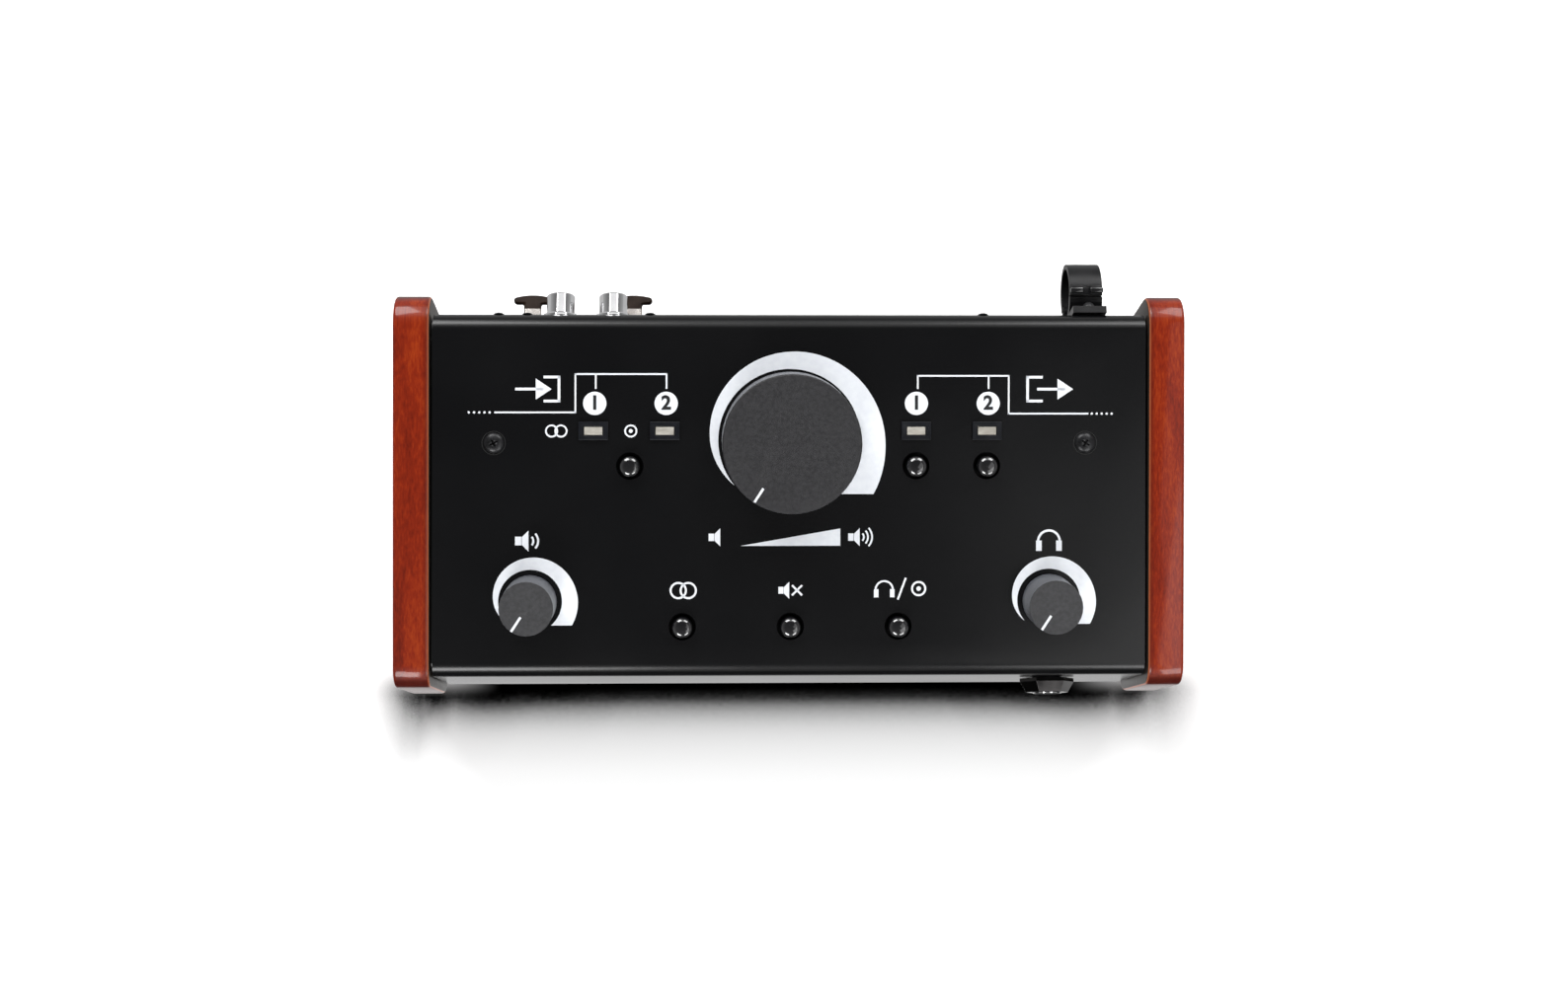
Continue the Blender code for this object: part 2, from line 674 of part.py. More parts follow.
def make_button(name, x, y):
    """A domed cap whose bore runs on the fixed stem of the switch under it."""
    axis = frame_empty(f"axis_{name}", (x, y, 0), (0, 0, 0), PANEL)
    body_floor = -BOARD_DROP + SEAT_GAP
    body_top = body_floor + SWITCH_BODY_HEIGHT
    foot = body_top + BUTTON_TRAVEL + SEAT_GAP
    stem_top = body_top + SWITCH_STEM_RISE
    ceiling = stem_top + BUTTON_TRAVEL + SEAT_GAP
    cap = [
        (0, BUTTON_RISE),
        (BUTTON_RADIUS - 2 * BUTTON_EDGE, BUTTON_RISE - BUTTON_EDGE / 6),
        (BUTTON_RADIUS - BUTTON_EDGE / 2, BUTTON_RISE - BUTTON_EDGE / 2),
        (BUTTON_RADIUS, BUTTON_RISE - 3 * BUTTON_EDGE / 2),
        (BUTTON_RADIUS, foot),
        (BUTTON_BORE_RADIUS + SEAT_GAP / 2, foot),
        (BUTTON_BORE_RADIUS + SEAT_GAP / 2, ceiling),
        (0, ceiling),
    ]
    turned(f"button_{name}", cap, "button_plastic", axis, steps=COARSE)
    half = SWITCH_BODY / 2
    switch = box_object(f"switch_{name}", (-half, -half, body_floor), (half, half, body_top),
                        "socket_plastic", PANEL)
    switch.location = (x, y, 0)
    stem = [(0, stem_top), (BUTTON_BORE_RADIUS - SEAT_GAP / 2, stem_top),
            (BUTTON_BORE_RADIUS - SEAT_GAP / 2, body_floor + SEAT_GAP), (0, body_floor + SEAT_GAP)]
    boolean(switch, as_cutter(turned(f"stem_{name}", stem, None, PANEL, (x, y, 0), steps=COARSE,
                                     collection=CUTTERS)), "UNION")


def bezel_hole_half():
    return BEZEL_LENGTH / 2 - BEZEL_RIM + SEAT_GAP, BEZEL_WIDTH / 2 - BEZEL_RIM + SEAT_GAP


def make_indicator(name, x, y):
    """A frame clipped into its window, and the lens of the light that stands on the board."""
    long_half, wide_half = bezel_hole_half()
    flange = box_object(f"bezel_{name}", (-BEZEL_LENGTH / 2, -BEZEL_WIDTH / 2, SEAT_GAP),
                        (BEZEL_LENGTH / 2, BEZEL_WIDTH / 2, SEAT_GAP + BEZEL_RISE), "bezel_plastic", PANEL)
    flange.location = (x, y, 0)
    skirt = box_object(f"bezel_skirt_{name}", (-long_half + SEAT_GAP, -wide_half + SEAT_GAP, -SHEET),
                       (long_half - SEAT_GAP, wide_half - SEAT_GAP, SEAT_GAP + BEZEL_RISE / 2), None, PANEL,
                       collection=CUTTERS)
    skirt.location = (x, y, 0)
    boolean(flange, as_cutter(skirt), "UNION")
    across, along = LENS_LENGTH / 2, LENS_WIDTH / 2
    fit = SEAT_GAP / 2
    window = box_object(f"bezel_window_{name}", (-across - fit, -along - fit, -SHEET - OVERRUN),
                        (across + fit, along + fit, OVERRUN), None, PANEL, collection=CUTTERS)
    window.location = (x, y, 0)
    boolean(flange, as_cutter(window))
    lens = box_object(f"lens_{name}", (-across, -along, -BOARD_DROP + SEAT_GAP),
                      (across, along, SEAT_GAP + BEZEL_RISE - LENS_SINK), "lens_plastic", PANEL)
    lens.location = (x, y, 0)


def ferrule_profile(reach, bore_depth, depth):
    """A quarter inch socket's threaded front and the bore behind it, about its own axis."""
    lip = ferrule_lip()
    return [
        (SOCKET_BORE_RADIUS + lip, reach),
        (FERRULE_RADIUS - lip, reach),
        (FERRULE_RADIUS, reach - lip),
        (FERRULE_RADIUS, -depth),
        (0, -depth),
        (0, -bore_depth),
        (SOCKET_BORE_RADIUS, -bore_depth),
        (SOCKET_BORE_RADIUS, reach - lip),
    ]


def make_socket(name, parent, x, y, body, body_depth, reach, bore_depth, metal):
    """A square moulding behind the sheet with a round threaded ferrule through it."""
    back = -SHEET - SEAT_GAP
    socket = turned(name, ferrule_profile(reach, bore_depth, body_depth / 2 + bore_depth / 2), metal, parent,
                    (x, y, 0), steps=COARSE, closed=True)
    half = body / 2
    shell = box_object(f"{name}_body", (-half, -half, back - body_depth + SEAT_GAP), (half, half, back), None,
                       parent, collection=CUTTERS)
    hollow_radius = (FERRULE_RADIUS + SOCKET_BORE_RADIUS) / 2
    hollow = [(0, OVERRUN), (hollow_radius, OVERRUN), (hollow_radius, -bore_depth), (0, -bore_depth)]
    boolean(shell, as_cutter(turned(f"{name}_room", hollow, None, parent, (x, y, 0), steps=COARSE,
                                    collection=CUTTERS)))
    shell.location = (x, y, 0)
    boolean(socket, as_cutter(shell), "UNION")
    return socket


def make_nut(name, parent, x, y, mat):
    """A hexagon nut that narrows to its face, on a ferrule, its flats level with the floor."""
    base, face = NUT_FLATS / math.sqrt(3), DRESS_NUT_FACE_FLATS / math.sqrt(3)
    high = SEAT_GAP + DRESS_NUT_THICKNESS
    profile = [(0, high), (face, high), (base, SEAT_GAP + NUT_SKIRT), (base, SEAT_GAP), (0, SEAT_GAP)]
    nut = turned(name, profile, mat, parent, (x, y, 0), (0, 0, 0), steps=6)
    bore_radius = FERRULE_RADIUS + THREAD_CLEARANCE
    high = high + OVERRUN
    bore = [(0, high), (bore_radius, high), (bore_radius, -OVERRUN), (0, -OVERRUN)]
    boolean(nut, as_cutter(turned(f"{name}_bore", bore, None, parent, (x, y, 0), steps=COARSE,
                                  collection=CUTTERS)))
    return nut


def make_headphone_socket():
    make_socket("headphone_socket", FRONT, HEADPHONE_X, -HEADPHONE_DROP, HEADPHONE_BODY, HEADPHONE_BODY_DEPTH,
                FERRULE_REACH, HEADPHONE_BORE_DEPTH, "bright_chrome")
    make_nut("headphone_nut", FRONT, HEADPHONE_X, -HEADPHONE_DROP, "bright_chrome")


def make_output_sockets():
    for number, x in enumerate(OUTPUT_X, 1):
        socket = make_socket(f"output_socket_{number}", REAR, -x, OUTPUT_HEIGHT, OUTPUT_BODY, SOCKET_DEPTH,
                             FERRULE_REACH, OUTPUT_BORE_DEPTH, "socket_plastic")
        bm = bmesh.new()
        add_cylinder(bm, NUT_FLATS / math.sqrt(3), SEAT_GAP, SEAT_GAP + NUT_THICKNESS, segments=6)
        collar = place(mesh_object(f"output_collar_{number}", bm, None, CUTTERS), REAR,
                       (-x, OUTPUT_HEIGHT, 0), (0, 0, math.pi / 6))
        ring = [(0, OVERRUN), (FERRULE_RADIUS - SEAT_GAP, OVERRUN), (FERRULE_RADIUS - SEAT_GAP, -OVERRUN),
                (0, -OVERRUN)]
        boolean(collar, as_cutter(turned(f"output_ring_{number}", ring, None, REAR, (-x, OUTPUT_HEIGHT, 0),
                                         steps=COARSE, collection=CUTTERS)))
        boolean(socket, as_cutter(collar), "UNION")


def make_combo_socket(number, x):
    """A flanged XLR socket with a quarter inch bore in its middle, and its push latch."""
    centre = (-x, COMBO_HEIGHT, 0)
    wide, tall = COMBO_FLANGE_WIDTH / 2, COMBO_FLANGE_HEIGHT / 2
    corners = [(-wide, -tall), (wide, -tall), (wide, tall), (-wide, tall)]
    front = SEAT_GAP + COMBO_FLANGE
    flange = plate(f"combo_socket_{number}", rounded(corners, COMBO_CORNER, steps=3), COMBO_FLANGE,
                   "socket_plastic", REAR, (-x, COMBO_HEIGHT, SEAT_GAP + COMBO_FLANGE / 2))
    back = -SHEET - SOCKET_DEPTH
    body = [
        (0, front + COMBO_RIM_RISE),
        (COMBO_RIM_RADIUS - COMBO_RIM_RISE / 2, front + COMBO_RIM_RISE),
        (COMBO_RIM_RADIUS, front + COMBO_RIM_RISE / 2),
        (COMBO_RIM_RADIUS, front - COMBO_RIM_RISE),
        (COMBO_BODY_RADIUS, front - COMBO_RIM_RISE),
        (COMBO_BODY_RADIUS, back),
        (0, back),
    ]
    barrel = turned(f"combo_body_{number}", body, None, REAR, centre, collection=CUTTERS)
    boolean(flange, as_cutter(barrel), "UNION")
    top = front + OVERRUN
    groove = [
        (COMBO_GROOVE_INNER, top),
        (COMBO_GROOVE_OUTER, top),
        (COMBO_GROOVE_OUTER, front - COMBO_GROOVE_DEPTH),
        (COMBO_GROOVE_INNER, front - COMBO_GROOVE_DEPTH),
    ]
    boolean(flange, as_cutter(turned(f"combo_groove_{number}", groove, None, REAR, centre, closed=True,
                                     collection=CUTTERS)))
    bm = bmesh.new()
    add_cylinder(bm, SOCKET_BORE_RADIUS, front - COMBO_BORE_DEPTH, top, segments=COARSE)
    for turn in (0.0, math.pi / 2, math.pi):
        across = COMBO_PIN_CIRCLE * math.cos(turn)
        below = -COMBO_PIN_CIRCLE * math.sin(turn)
        add_cylinder(bm, COMBO_PIN_RADIUS, front - COMBO_GROOVE_DEPTH, top, across, below, COARSE // 2)
    half = LATCH_NECK_WIDTH / 2 + SEAT_GAP
    thin = LATCH_THICKNESS / 2 + SEAT_GAP
    add_box(bm, (-half, LATCH_HEIGHT - thin, front - LATCH_ROOT - LATCH_TRAVEL - SEAT_GAP),
            (half, LATCH_HEIGHT + thin, top))
    boolean(flange, as_cutter(place(mesh_object(f"combo_holes_{number}", bm, None, CUTTERS), REAR, centre)))
    make_latch(number, x, front)


def make_latch(number, x, front):
    """The T-shaped push tab over an XLR socket, pressed in to free the plug."""
    axis = frame_empty(f"axis_latch_{number}", (-x, COMBO_HEIGHT + LATCH_HEIGHT, 0),
                       (-math.pi / 2, 0, 0), REAR)
    cap, neck = LATCH_CAP_WIDTH / 2, LATCH_NECK_WIDTH / 2
    reach = SEAT_GAP + LATCH_REACH - LATCH_CAP_BOW
    outline = [
        (-neck, -reach + LATCH_CAP),
        (-neck, -front + LATCH_ROOT),
        (neck, -front + LATCH_ROOT),
        (neck, -reach + LATCH_CAP),
    ]
    tip = LATCH_CAP / 2
    outline += arc((cap - tip, tip - reach), tip, math.pi / 2, -math.pi / 2, 5)
    outline += [Vector(((cap - tip) * share, -reach - LATCH_CAP_BOW * (1 - share * share)))
                for share in (0.6, 0.2, -0.2, -0.6)]
    outline += arc((tip - cap, tip - reach), tip, -math.pi / 2, -3 * math.pi / 2, 5)
    plate(f"latch_tab_{number}", outline, LATCH_THICKNESS, "latch_metal", axis,
          edge=LATCH_THICKNESS * LATCH_EDGE_SHARE, edge_segments=1)


def make_phono_socket(number, x):
    """A bright barrel with its insulator and centre hole, held by a round nut."""
    lip = (PHONO_RADIUS - PHONO_INSULATOR_RADIUS) / 2
    profile = [
        (PHONO_INSULATOR_RADIUS, PHONO_REACH),
        (PHONO_RADIUS - lip, PHONO_REACH),
        (PHONO_RADIUS, PHONO_REACH - lip),
        (PHONO_RADIUS, SEAT_GAP + PHONO_NUT),
        (PHONO_NUT_RADIUS - lip, SEAT_GAP + PHONO_NUT),
        (PHONO_NUT_RADIUS, SEAT_GAP + PHONO_NUT - lip),
        (PHONO_NUT_RADIUS, SEAT_GAP),
        (PHONO_RADIUS, SEAT_GAP),
        (PHONO_RADIUS, -PHONO_BODY_DEPTH),
        (0, -PHONO_BODY_DEPTH),
        (0, PHONO_REACH - PHONO_BORE_DEPTH),
        (PHONO_BORE_RADIUS, PHONO_REACH - PHONO_BORE_DEPTH),
        (PHONO_BORE_RADIUS, PHONO_REACH - PHONO_INSULATOR_SINK),
        (PHONO_INSULATOR_RADIUS, PHONO_REACH - PHONO_INSULATOR_SINK),
    ]
    turned(f"phono_socket_{number}", profile, "bright_chrome", REAR, (-x, PHONO_HEIGHT, 0), closed=True,
           steps=24)


def make_power_inlet():
    """A barrel inlet with its centre pin, held by a round nut."""
    lip = (INLET_NUT_RADIUS - INLET_RADIUS) / 3
    floor = INLET_REACH - INLET_BORE_DEPTH
    profile = [
        (0, INLET_REACH - lip),
        (INLET_PIN_RADIUS, INLET_REACH - lip),
        (INLET_PIN_RADIUS, floor),
        (INLET_BORE_RADIUS, floor),
        (INLET_BORE_RADIUS, INLET_REACH),
        (INLET_NUT_RADIUS - lip, INLET_REACH),
        (INLET_NUT_RADIUS, INLET_REACH - lip),
        (INLET_NUT_RADIUS, SEAT_GAP),
        (INLET_RADIUS, SEAT_GAP),
        (INLET_RADIUS, -INLET_BODY_DEPTH),
        (0, -INLET_BODY_DEPTH),
    ]
    turned("power_inlet", profile, "socket_plastic", REAR, (-INLET_X, INLET_HEIGHT, 0), steps=24)


def band(name, start, end, steps):
    """A stretch of the clamp's round band, as an outline about the loop's centre."""
    outer = arc((0, 0), CLAMP_RADIUS + CLAMP_BAND, start, end, steps)
    inner = arc((0, 0), CLAMP_RADIUS, end, start, steps)
    return outer + inner


def make_clamp(parent):
    """A nylon loop whose strap hinges open below and snaps on a catch above."""
    out = CASE_DEPTH / 2 + CLAMP_STANDOFF + CLAMP_RADIUS + CLAMP_BAND
    centre = (CLAMP_X, out, CLAMP_HEIGHT)
    hinge_circle = CLAMP_RADIUS + CLAMP_BAND / 2
    split = math.asin((CLAMP_HINGE_RADIUS + SEAT_GAP) / hinge_circle)
    base = plate("clamp_base", band("base", CLAMP_CATCH_ANGLE, 2 * math.pi + CLAMP_HINGE_ANGLE - split, 12),
                 CLAMP_WIDTH, "clamp_nylon", parent, centre, SIDEWAYS)
    reach = CLAMP_RADIUS + CLAMP_BAND
    foot_low = math.sin(CLAMP_FOOT_ANGLE) * CLAMP_RADIUS
    foot_in = -reach - CLAMP_STANDOFF + SEAT_GAP
    foot = box_object("clamp_foot", (foot_in, 0, -CLAMP_FOOT_WIDTH / 2),
                      (foot_in + CLAMP_FOOT, CLAMP_FOOT_RISE, CLAMP_FOOT_WIDTH / 2), None, parent,
                      collection=CUTTERS)
    place(foot, parent, centre, SIDEWAYS)
    arm = box_object("clamp_arm", (foot_in + SEAT_GAP, 0, -CLAMP_FOOT_WIDTH / 2 + SEAT_GAP),
                     (math.cos(CLAMP_FOOT_ANGLE) * (CLAMP_RADIUS + CLAMP_BAND / 2), foot_low,
                      CLAMP_FOOT_WIDTH / 2 - SEAT_GAP), None, parent, collection=CUTTERS)
    place(arm, parent, centre, SIDEWAYS)
    boolean(base, as_cutter(foot), "UNION")
    boolean(base, as_cutter(arm), "UNION")
    bore = [(0, CLAMP_WIDTH), (CLAMP_RADIUS, CLAMP_WIDTH), (CLAMP_RADIUS, -CLAMP_WIDTH), (0, -CLAMP_WIDTH)]
    boolean(base, as_cutter(turned("clamp_bore", bore, None, parent, centre, SIDEWAYS, collection=CUTTERS)))
    make_strap(parent, centre, hinge_circle)


def make_strap(parent, centre, hinge_circle):
    hinge = (centre[0], centre[1] + hinge_circle * math.cos(CLAMP_HINGE_ANGLE),
             centre[2] + hinge_circle * math.sin(CLAMP_HINGE_ANGLE))
    axis = frame_empty("axis_clamp", hinge, SIDEWAYS, parent)
    back = (-hinge_circle * math.cos(CLAMP_HINGE_ANGLE), -hinge_circle * math.sin(CLAMP_HINGE_ANGLE), 0)
    free_end = CLAMP_CATCH_ANGLE - SEAT_GAP / CLAMP_RADIUS
    strap = plate("clamp_strap", band("strap", CLAMP_HINGE_ANGLE, free_end, 20), CLAMP_WIDTH, "clamp_nylon",
                  axis, back)
    half = CLAMP_WIDTH / 2 - SEAT_GAP
    pin = [(0, half), (CLAMP_HINGE_RADIUS, half), (CLAMP_HINGE_RADIUS, -half), (0, -half)]
    knuckle = turned("clamp_knuckle", pin, None, axis, steps=COARSE, collection=CUTTERS)
    boolean(strap, as_cutter(knuckle), "UNION")
    catch_end = free_end - SEAT_GAP / CLAMP_RADIUS
    catch_start = catch_end - CLAMP_CATCH_LENGTH / CLAMP_RADIUS
    outer = CLAMP_RADIUS + CLAMP_BAND + CLAMP_CATCH_RISE
    ridge = arc((0, 0), CLAMP_RADIUS + CLAMP_BAND / 2, catch_end, catch_start, 3)
    ridge += arc((0, 0), outer, catch_start, catch_end, 3)
    catch = plate("clamp_catch", ridge, 2 * half, None, axis, back, collection=CUTTERS)
    notch = box_object("clamp_notch", (-outer, CLAMP_RADIUS / 2, -CLAMP_CATCH_SLOT / 2),
                       (0, outer, CLAMP_CATCH_SLOT / 2), None, axis, collection=CUTTERS)
    notch.location = back
    reach = CLAMP_RADIUS + CLAMP_BAND
    rim = [(0, CLAMP_WIDTH), (reach, CLAMP_WIDTH), (reach, -CLAMP_WIDTH), (0, -CLAMP_WIDTH)]
    boolean(notch, as_cutter(turned("clamp_rim", rim, None, axis, back, collection=CUTTERS)))
    boolean(catch, as_cutter(notch))
    boolean(strap, as_cutter(catch), "UNION")


clear_scene()
make_materials()
PARTS = new_collection("monitor_controller")
CUTTERS = new_collection("cutters")

SIDEWAYS = (math.pi / 2, 0, math.pi / 2)  # local X, Y and Z run along world Y, Z and X
PANEL_EDGE = CASE_DEPTH / 2 / math.cos(PANEL_SLOPE)  # up the slope from the panel's middle
LEVEL_KNOB_Y = PANEL_EDGE - LEVEL_KNOB_INSET
INDICATOR_Y = PANEL_EDGE - INDICATOR_INSET
UPPER_BUTTON_Y = PANEL_EDGE - UPPER_BUTTON_INSET
SMALL_KNOB_Y = SMALL_KNOB_INSET - PANEL_EDGE
LOWER_BUTTON_Y = LOWER_BUTTON_INSET - PANEL_EDGE
SMALL_KNOB_X = CASE_WIDTH / 2 - SMALL_KNOB_SIDE_INSET
KNOB_PLACES = {
    "level": (0.0, LEVEL_KNOB_Y),
    "auxiliary": (-SMALL_KNOB_X, SMALL_KNOB_Y),
    "headphone": (SMALL_KNOB_X, SMALL_KNOB_Y),
}
BUTTON_PLACES = {
    "input_select": (-SELECT_BUTTON_X, UPPER_BUTTON_Y),
    "output_1": (INNER_COLUMN_X, UPPER_BUTTON_Y),
    "output_2": (OUTER_COLUMN_X, UPPER_BUTTON_Y),
    "lower_left": (-LOWER_BUTTON_SPREAD, LOWER_BUTTON_Y),
    "lower_middle": (0.0, LOWER_BUTTON_Y),
    "lower_right": (LOWER_BUTTON_SPREAD, LOWER_BUTTON_Y),
}
HEADPHONE_X = CASE_WIDTH / 2 - HEADPHONE_INSET
INLET_X = CASE_WIDTH / 2 - INLET_INSET
CLAMP_X = CASE_WIDTH / 2 - CLAMP_INSET
COMBO_X = (COMBO_INSET - CASE_WIDTH / 2, COMBO_INSET - CASE_WIDTH / 2 + COMBO_PITCH)
PHONO_HEIGHT = COMBO_HEIGHT + COMBO_FLANGE_HEIGHT / 2 + PHONO_RISE
PHONO_MIDDLE = sum(COMBO_X) / 2 + PHONO_OFFSET
PHONO_X = (PHONO_MIDDLE - PHONO_PITCH / 2, PHONO_MIDDLE + PHONO_PITCH / 2)
# The outputs stand midway between the combination sockets and the power inlet.
OUTPUT_MIDDLE = (COMBO_X[-1] + COMBO_FLANGE_WIDTH / 2 + INLET_X - INLET_NUT_RADIUS) / 2
OUTPUT_X = [OUTPUT_MIDDLE + OUTPUT_PITCH * step / 2 for step in (-3, -1, 1, 3)]
INDICATOR_PLACES = {
    "input_1": (-OUTER_COLUMN_X, INDICATOR_Y),
    "input_2": (-INNER_COLUMN_X, INDICATOR_Y),
    "output_1": (INNER_COLUMN_X, INDICATOR_Y),
    "output_2": (OUTER_COLUMN_X, INDICATOR_Y),
}

# The case stands so that the whole object's box is centred front to back on the origin.
CASE_Y = (front_reach() - rear_reach()) / 2
CASE = frame_empty("case_frame", (0, CASE_Y, 0), (0, 0, 0))
FRONT_TOP = case_corners()[3]
PANEL = frame_empty("panel_frame", (0, 0, PANEL_HEIGHT), (PANEL_SLOPE, 0, 0), CASE)
FRONT = frame_empty("front_frame", (0, FRONT_TOP.x, FRONT_TOP.y), (math.pi / 2 + FACE_LEAN, 0, 0), CASE)
REAR = frame_empty("rear_frame", (0, CASE_DEPTH / 2, 0), (math.pi / 2, 0, math.pi), CASE)

make_cover(CASE)
make_tray(CASE)
make_side_plates(CASE)
make_cheeks(CASE)
make_feet(CASE)
make_boards(CASE)
for knob_name, (knob_x, knob_y) in KNOB_PLACES.items():
    make_potentiometer(knob_name, knob_x, knob_y)
make_knob("level", *KNOB_PLACES["level"], LEVEL_KNOB_DIAMETER, LEVEL_POINTER_LENGTH)
make_knob("auxiliary", *KNOB_PLACES["auxiliary"], SMALL_KNOB_DIAMETER, SMALL_POINTER_LENGTH)
make_knob("headphone", *KNOB_PLACES["headphone"], SMALL_KNOB_DIAMETER, SMALL_POINTER_LENGTH)
for button_name, (button_x, button_y) in BUTTON_PLACES.items():
    make_button(button_name, button_x, button_y)
for indicator_name, (indicator_x, indicator_y) in INDICATOR_PLACES.items():
    make_indicator(indicator_name, indicator_x, indicator_y)
make_headphone_socket()
make_output_sockets()
for combo_number, combo_x in enumerate(COMBO_X, 1):
    make_combo_socket(combo_number, combo_x)
for phono_number, phono_x in enumerate(PHONO_X, 1):
    make_phono_socket(phono_number, phono_x)
make_power_inlet()
make_clamp(CASE)
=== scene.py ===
"""The studio monitor controller dressed for the photograph: finishes, printed marks, screws and light.

Lengths are in metres. Places on the panel count from the middle of its marks, to the right and up the slope.
Places on the rear face count from the middle of the case and from the surface that it stands on.
"""

import json
import math

import bmesh
import bpy
from mathutils import Euler, Matrix, Vector

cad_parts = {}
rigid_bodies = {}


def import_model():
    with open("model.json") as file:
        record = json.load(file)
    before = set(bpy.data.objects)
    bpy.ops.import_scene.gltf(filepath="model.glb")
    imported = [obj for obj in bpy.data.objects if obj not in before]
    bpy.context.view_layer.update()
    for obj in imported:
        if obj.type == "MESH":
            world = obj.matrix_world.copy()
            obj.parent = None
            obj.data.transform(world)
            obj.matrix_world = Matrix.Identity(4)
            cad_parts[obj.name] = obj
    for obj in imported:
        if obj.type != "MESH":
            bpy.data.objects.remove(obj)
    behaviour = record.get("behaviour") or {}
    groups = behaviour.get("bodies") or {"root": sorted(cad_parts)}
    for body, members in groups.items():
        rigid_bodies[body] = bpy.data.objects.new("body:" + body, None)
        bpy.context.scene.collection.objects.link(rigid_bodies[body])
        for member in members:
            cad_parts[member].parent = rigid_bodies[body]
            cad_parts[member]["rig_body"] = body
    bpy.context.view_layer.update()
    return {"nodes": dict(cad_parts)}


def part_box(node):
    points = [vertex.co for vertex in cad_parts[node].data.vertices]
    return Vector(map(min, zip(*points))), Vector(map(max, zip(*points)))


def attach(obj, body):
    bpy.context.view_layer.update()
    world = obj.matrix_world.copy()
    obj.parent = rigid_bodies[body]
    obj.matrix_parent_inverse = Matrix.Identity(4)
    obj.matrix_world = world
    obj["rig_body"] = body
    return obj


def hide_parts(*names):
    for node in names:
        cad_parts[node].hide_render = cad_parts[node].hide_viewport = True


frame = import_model()
NODES = frame["nodes"]

# The case's own frames, from the solids

CASE_DEPTH = 0.1049
PANEL_HEIGHT = 0.0725
SLOPE = math.radians(17.5)
LEAN = math.radians(4.0)
REAR_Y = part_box("top_cover")[1].y
CASE_Y = REAR_Y - CASE_DEPTH / 2
FRONT_Y = REAR_Y - CASE_DEPTH
FRONT_TOP = PANEL_HEIGHT - CASE_DEPTH / 2 * math.tan(SLOPE)
MARKS_DEPTH = 0.052  # the panel's marks and controls are placed from here, behind its front edge
MARKS_Y = FRONT_Y + MARKS_DEPTH
MARKS_HEIGHT = FRONT_TOP + MARKS_DEPTH * math.tan(SLOPE)
PANEL = Matrix.Translation((0, MARKS_Y, MARKS_HEIGHT)) @ Matrix.Rotation(SLOPE, 4, "X")
FRONT = Matrix.Translation((0, FRONT_Y, FRONT_TOP)) @ Matrix.Rotation(math.pi / 2 + LEAN, 4, "X")
REAR = Matrix.Translation((0, REAR_Y, 0)) @ Euler((math.pi / 2, 0, math.pi)).to_matrix().to_4x4()
PRINT_LIFT = 0.00004  # printed marks stand this far off the paint


def on_panel(x, y, out=0.0):
    return PANEL @ Matrix.Translation((x, y, out))


def on_rear(x, height, out=0.0):
    return REAR @ Matrix.Translation((-x, height, out))


# Shader nodes in short calls

MATS = {}
WHITE = (1, 1, 1, 1)
BUMP_DEPTH = 0.0002


def fill(tree, node, values):
    """Links a node's inputs to sockets, or sets them to plain values."""
    for name, value in values.items():
        if isinstance(value, bpy.types.NodeSocket):
            tree.links.new(value, node.inputs[name])
        else:
            node.inputs[name].default_value = value


def add(tree, kind, values=None, **settings):
    """A new node. Its settings come first, since they decide which inputs it has."""
    node = tree.nodes.new("ShaderNode" + kind)
    for name, value in settings.items():
        setattr(node, name, value)
    fill(tree, node, values or {})
    return node


def compute(tree, operation, *values):
    return add(tree, "Math", dict(enumerate(values)), operation=operation).outputs["Value"]


def mapped(tree, value, start, end, to_start=0.0, to_end=1.0, smooth=False):
    """Carries a value from one range over to another and holds it there."""
    values = {"Value": value, "From Min": start, "From Max": end, "To Min": to_start, "To Max": to_end}
    curve = "SMOOTHSTEP" if smooth else "LINEAR"
    return add(tree, "MapRange", values, interpolation_type=curve).outputs["Result"]


def mixed(tree, factor, under, over, blend="MIX"):
    """One colour over another."""
    values = {"Factor": factor, "A": under, "B": over}
    return add(tree, "Mix", values, data_type="RGBA", blend_type=blend).outputs["Result"]


def ramp(tree, value, stops):
    """A colour read from a value by (position, colour) stops."""
    node = add(tree, "ValToRGB", {"Fac": value})
    marks = node.color_ramp.elements
    for mark, (position, colour) in zip((marks[0], marks[-1]), (stops[0], stops[-1])):
        mark.position = position
        mark.color = colour
    for position, colour in stops[1:-1]:
        marks.new(position).color = colour
    return node.outputs["Color"]


def grey_over(tree, value, points):
    """A grey level read from a value by straight lines between (value, level) points."""
    low, high = points[0][0], points[-1][0]
    stops = [((at - low) / (high - low), (level, level, level, 1)) for at, level in points]
    return ramp(tree, mapped(tree, value, low, high), stops)


def stretched(tree, scale):
    """The object's own coordinates, scaled."""
    own = add(tree, "TexCoord").outputs["Object"]
    return add(tree, "Mapping", {"Vector": own, "Scale": scale}).outputs["Vector"]


def own_place(tree):
    """The object's own X, Y and Z."""
    own = add(tree, "TexCoord").outputs["Object"]
    return add(tree, "SeparateXYZ", {"Vector": own}).outputs


def noise(tree, where, scale, detail, **more):
    values = {"Vector": where, "Scale": scale, "Detail": detail, **more}
    return add(tree, "TexNoise", values).outputs["Fac"]


def bumped(tree, height, strength):
    values = {"Strength": strength, "Distance": BUMP_DEPTH, "Height": height}
    return add(tree, "Bump", values).outputs["Normal"]


def new_material(name):
    mat = bpy.data.materials.new(name)
    mat.use_nodes = True
    MATS[name] = mat
    return mat.node_tree, mat.node_tree.nodes["Principled BSDF"]


# Finishes

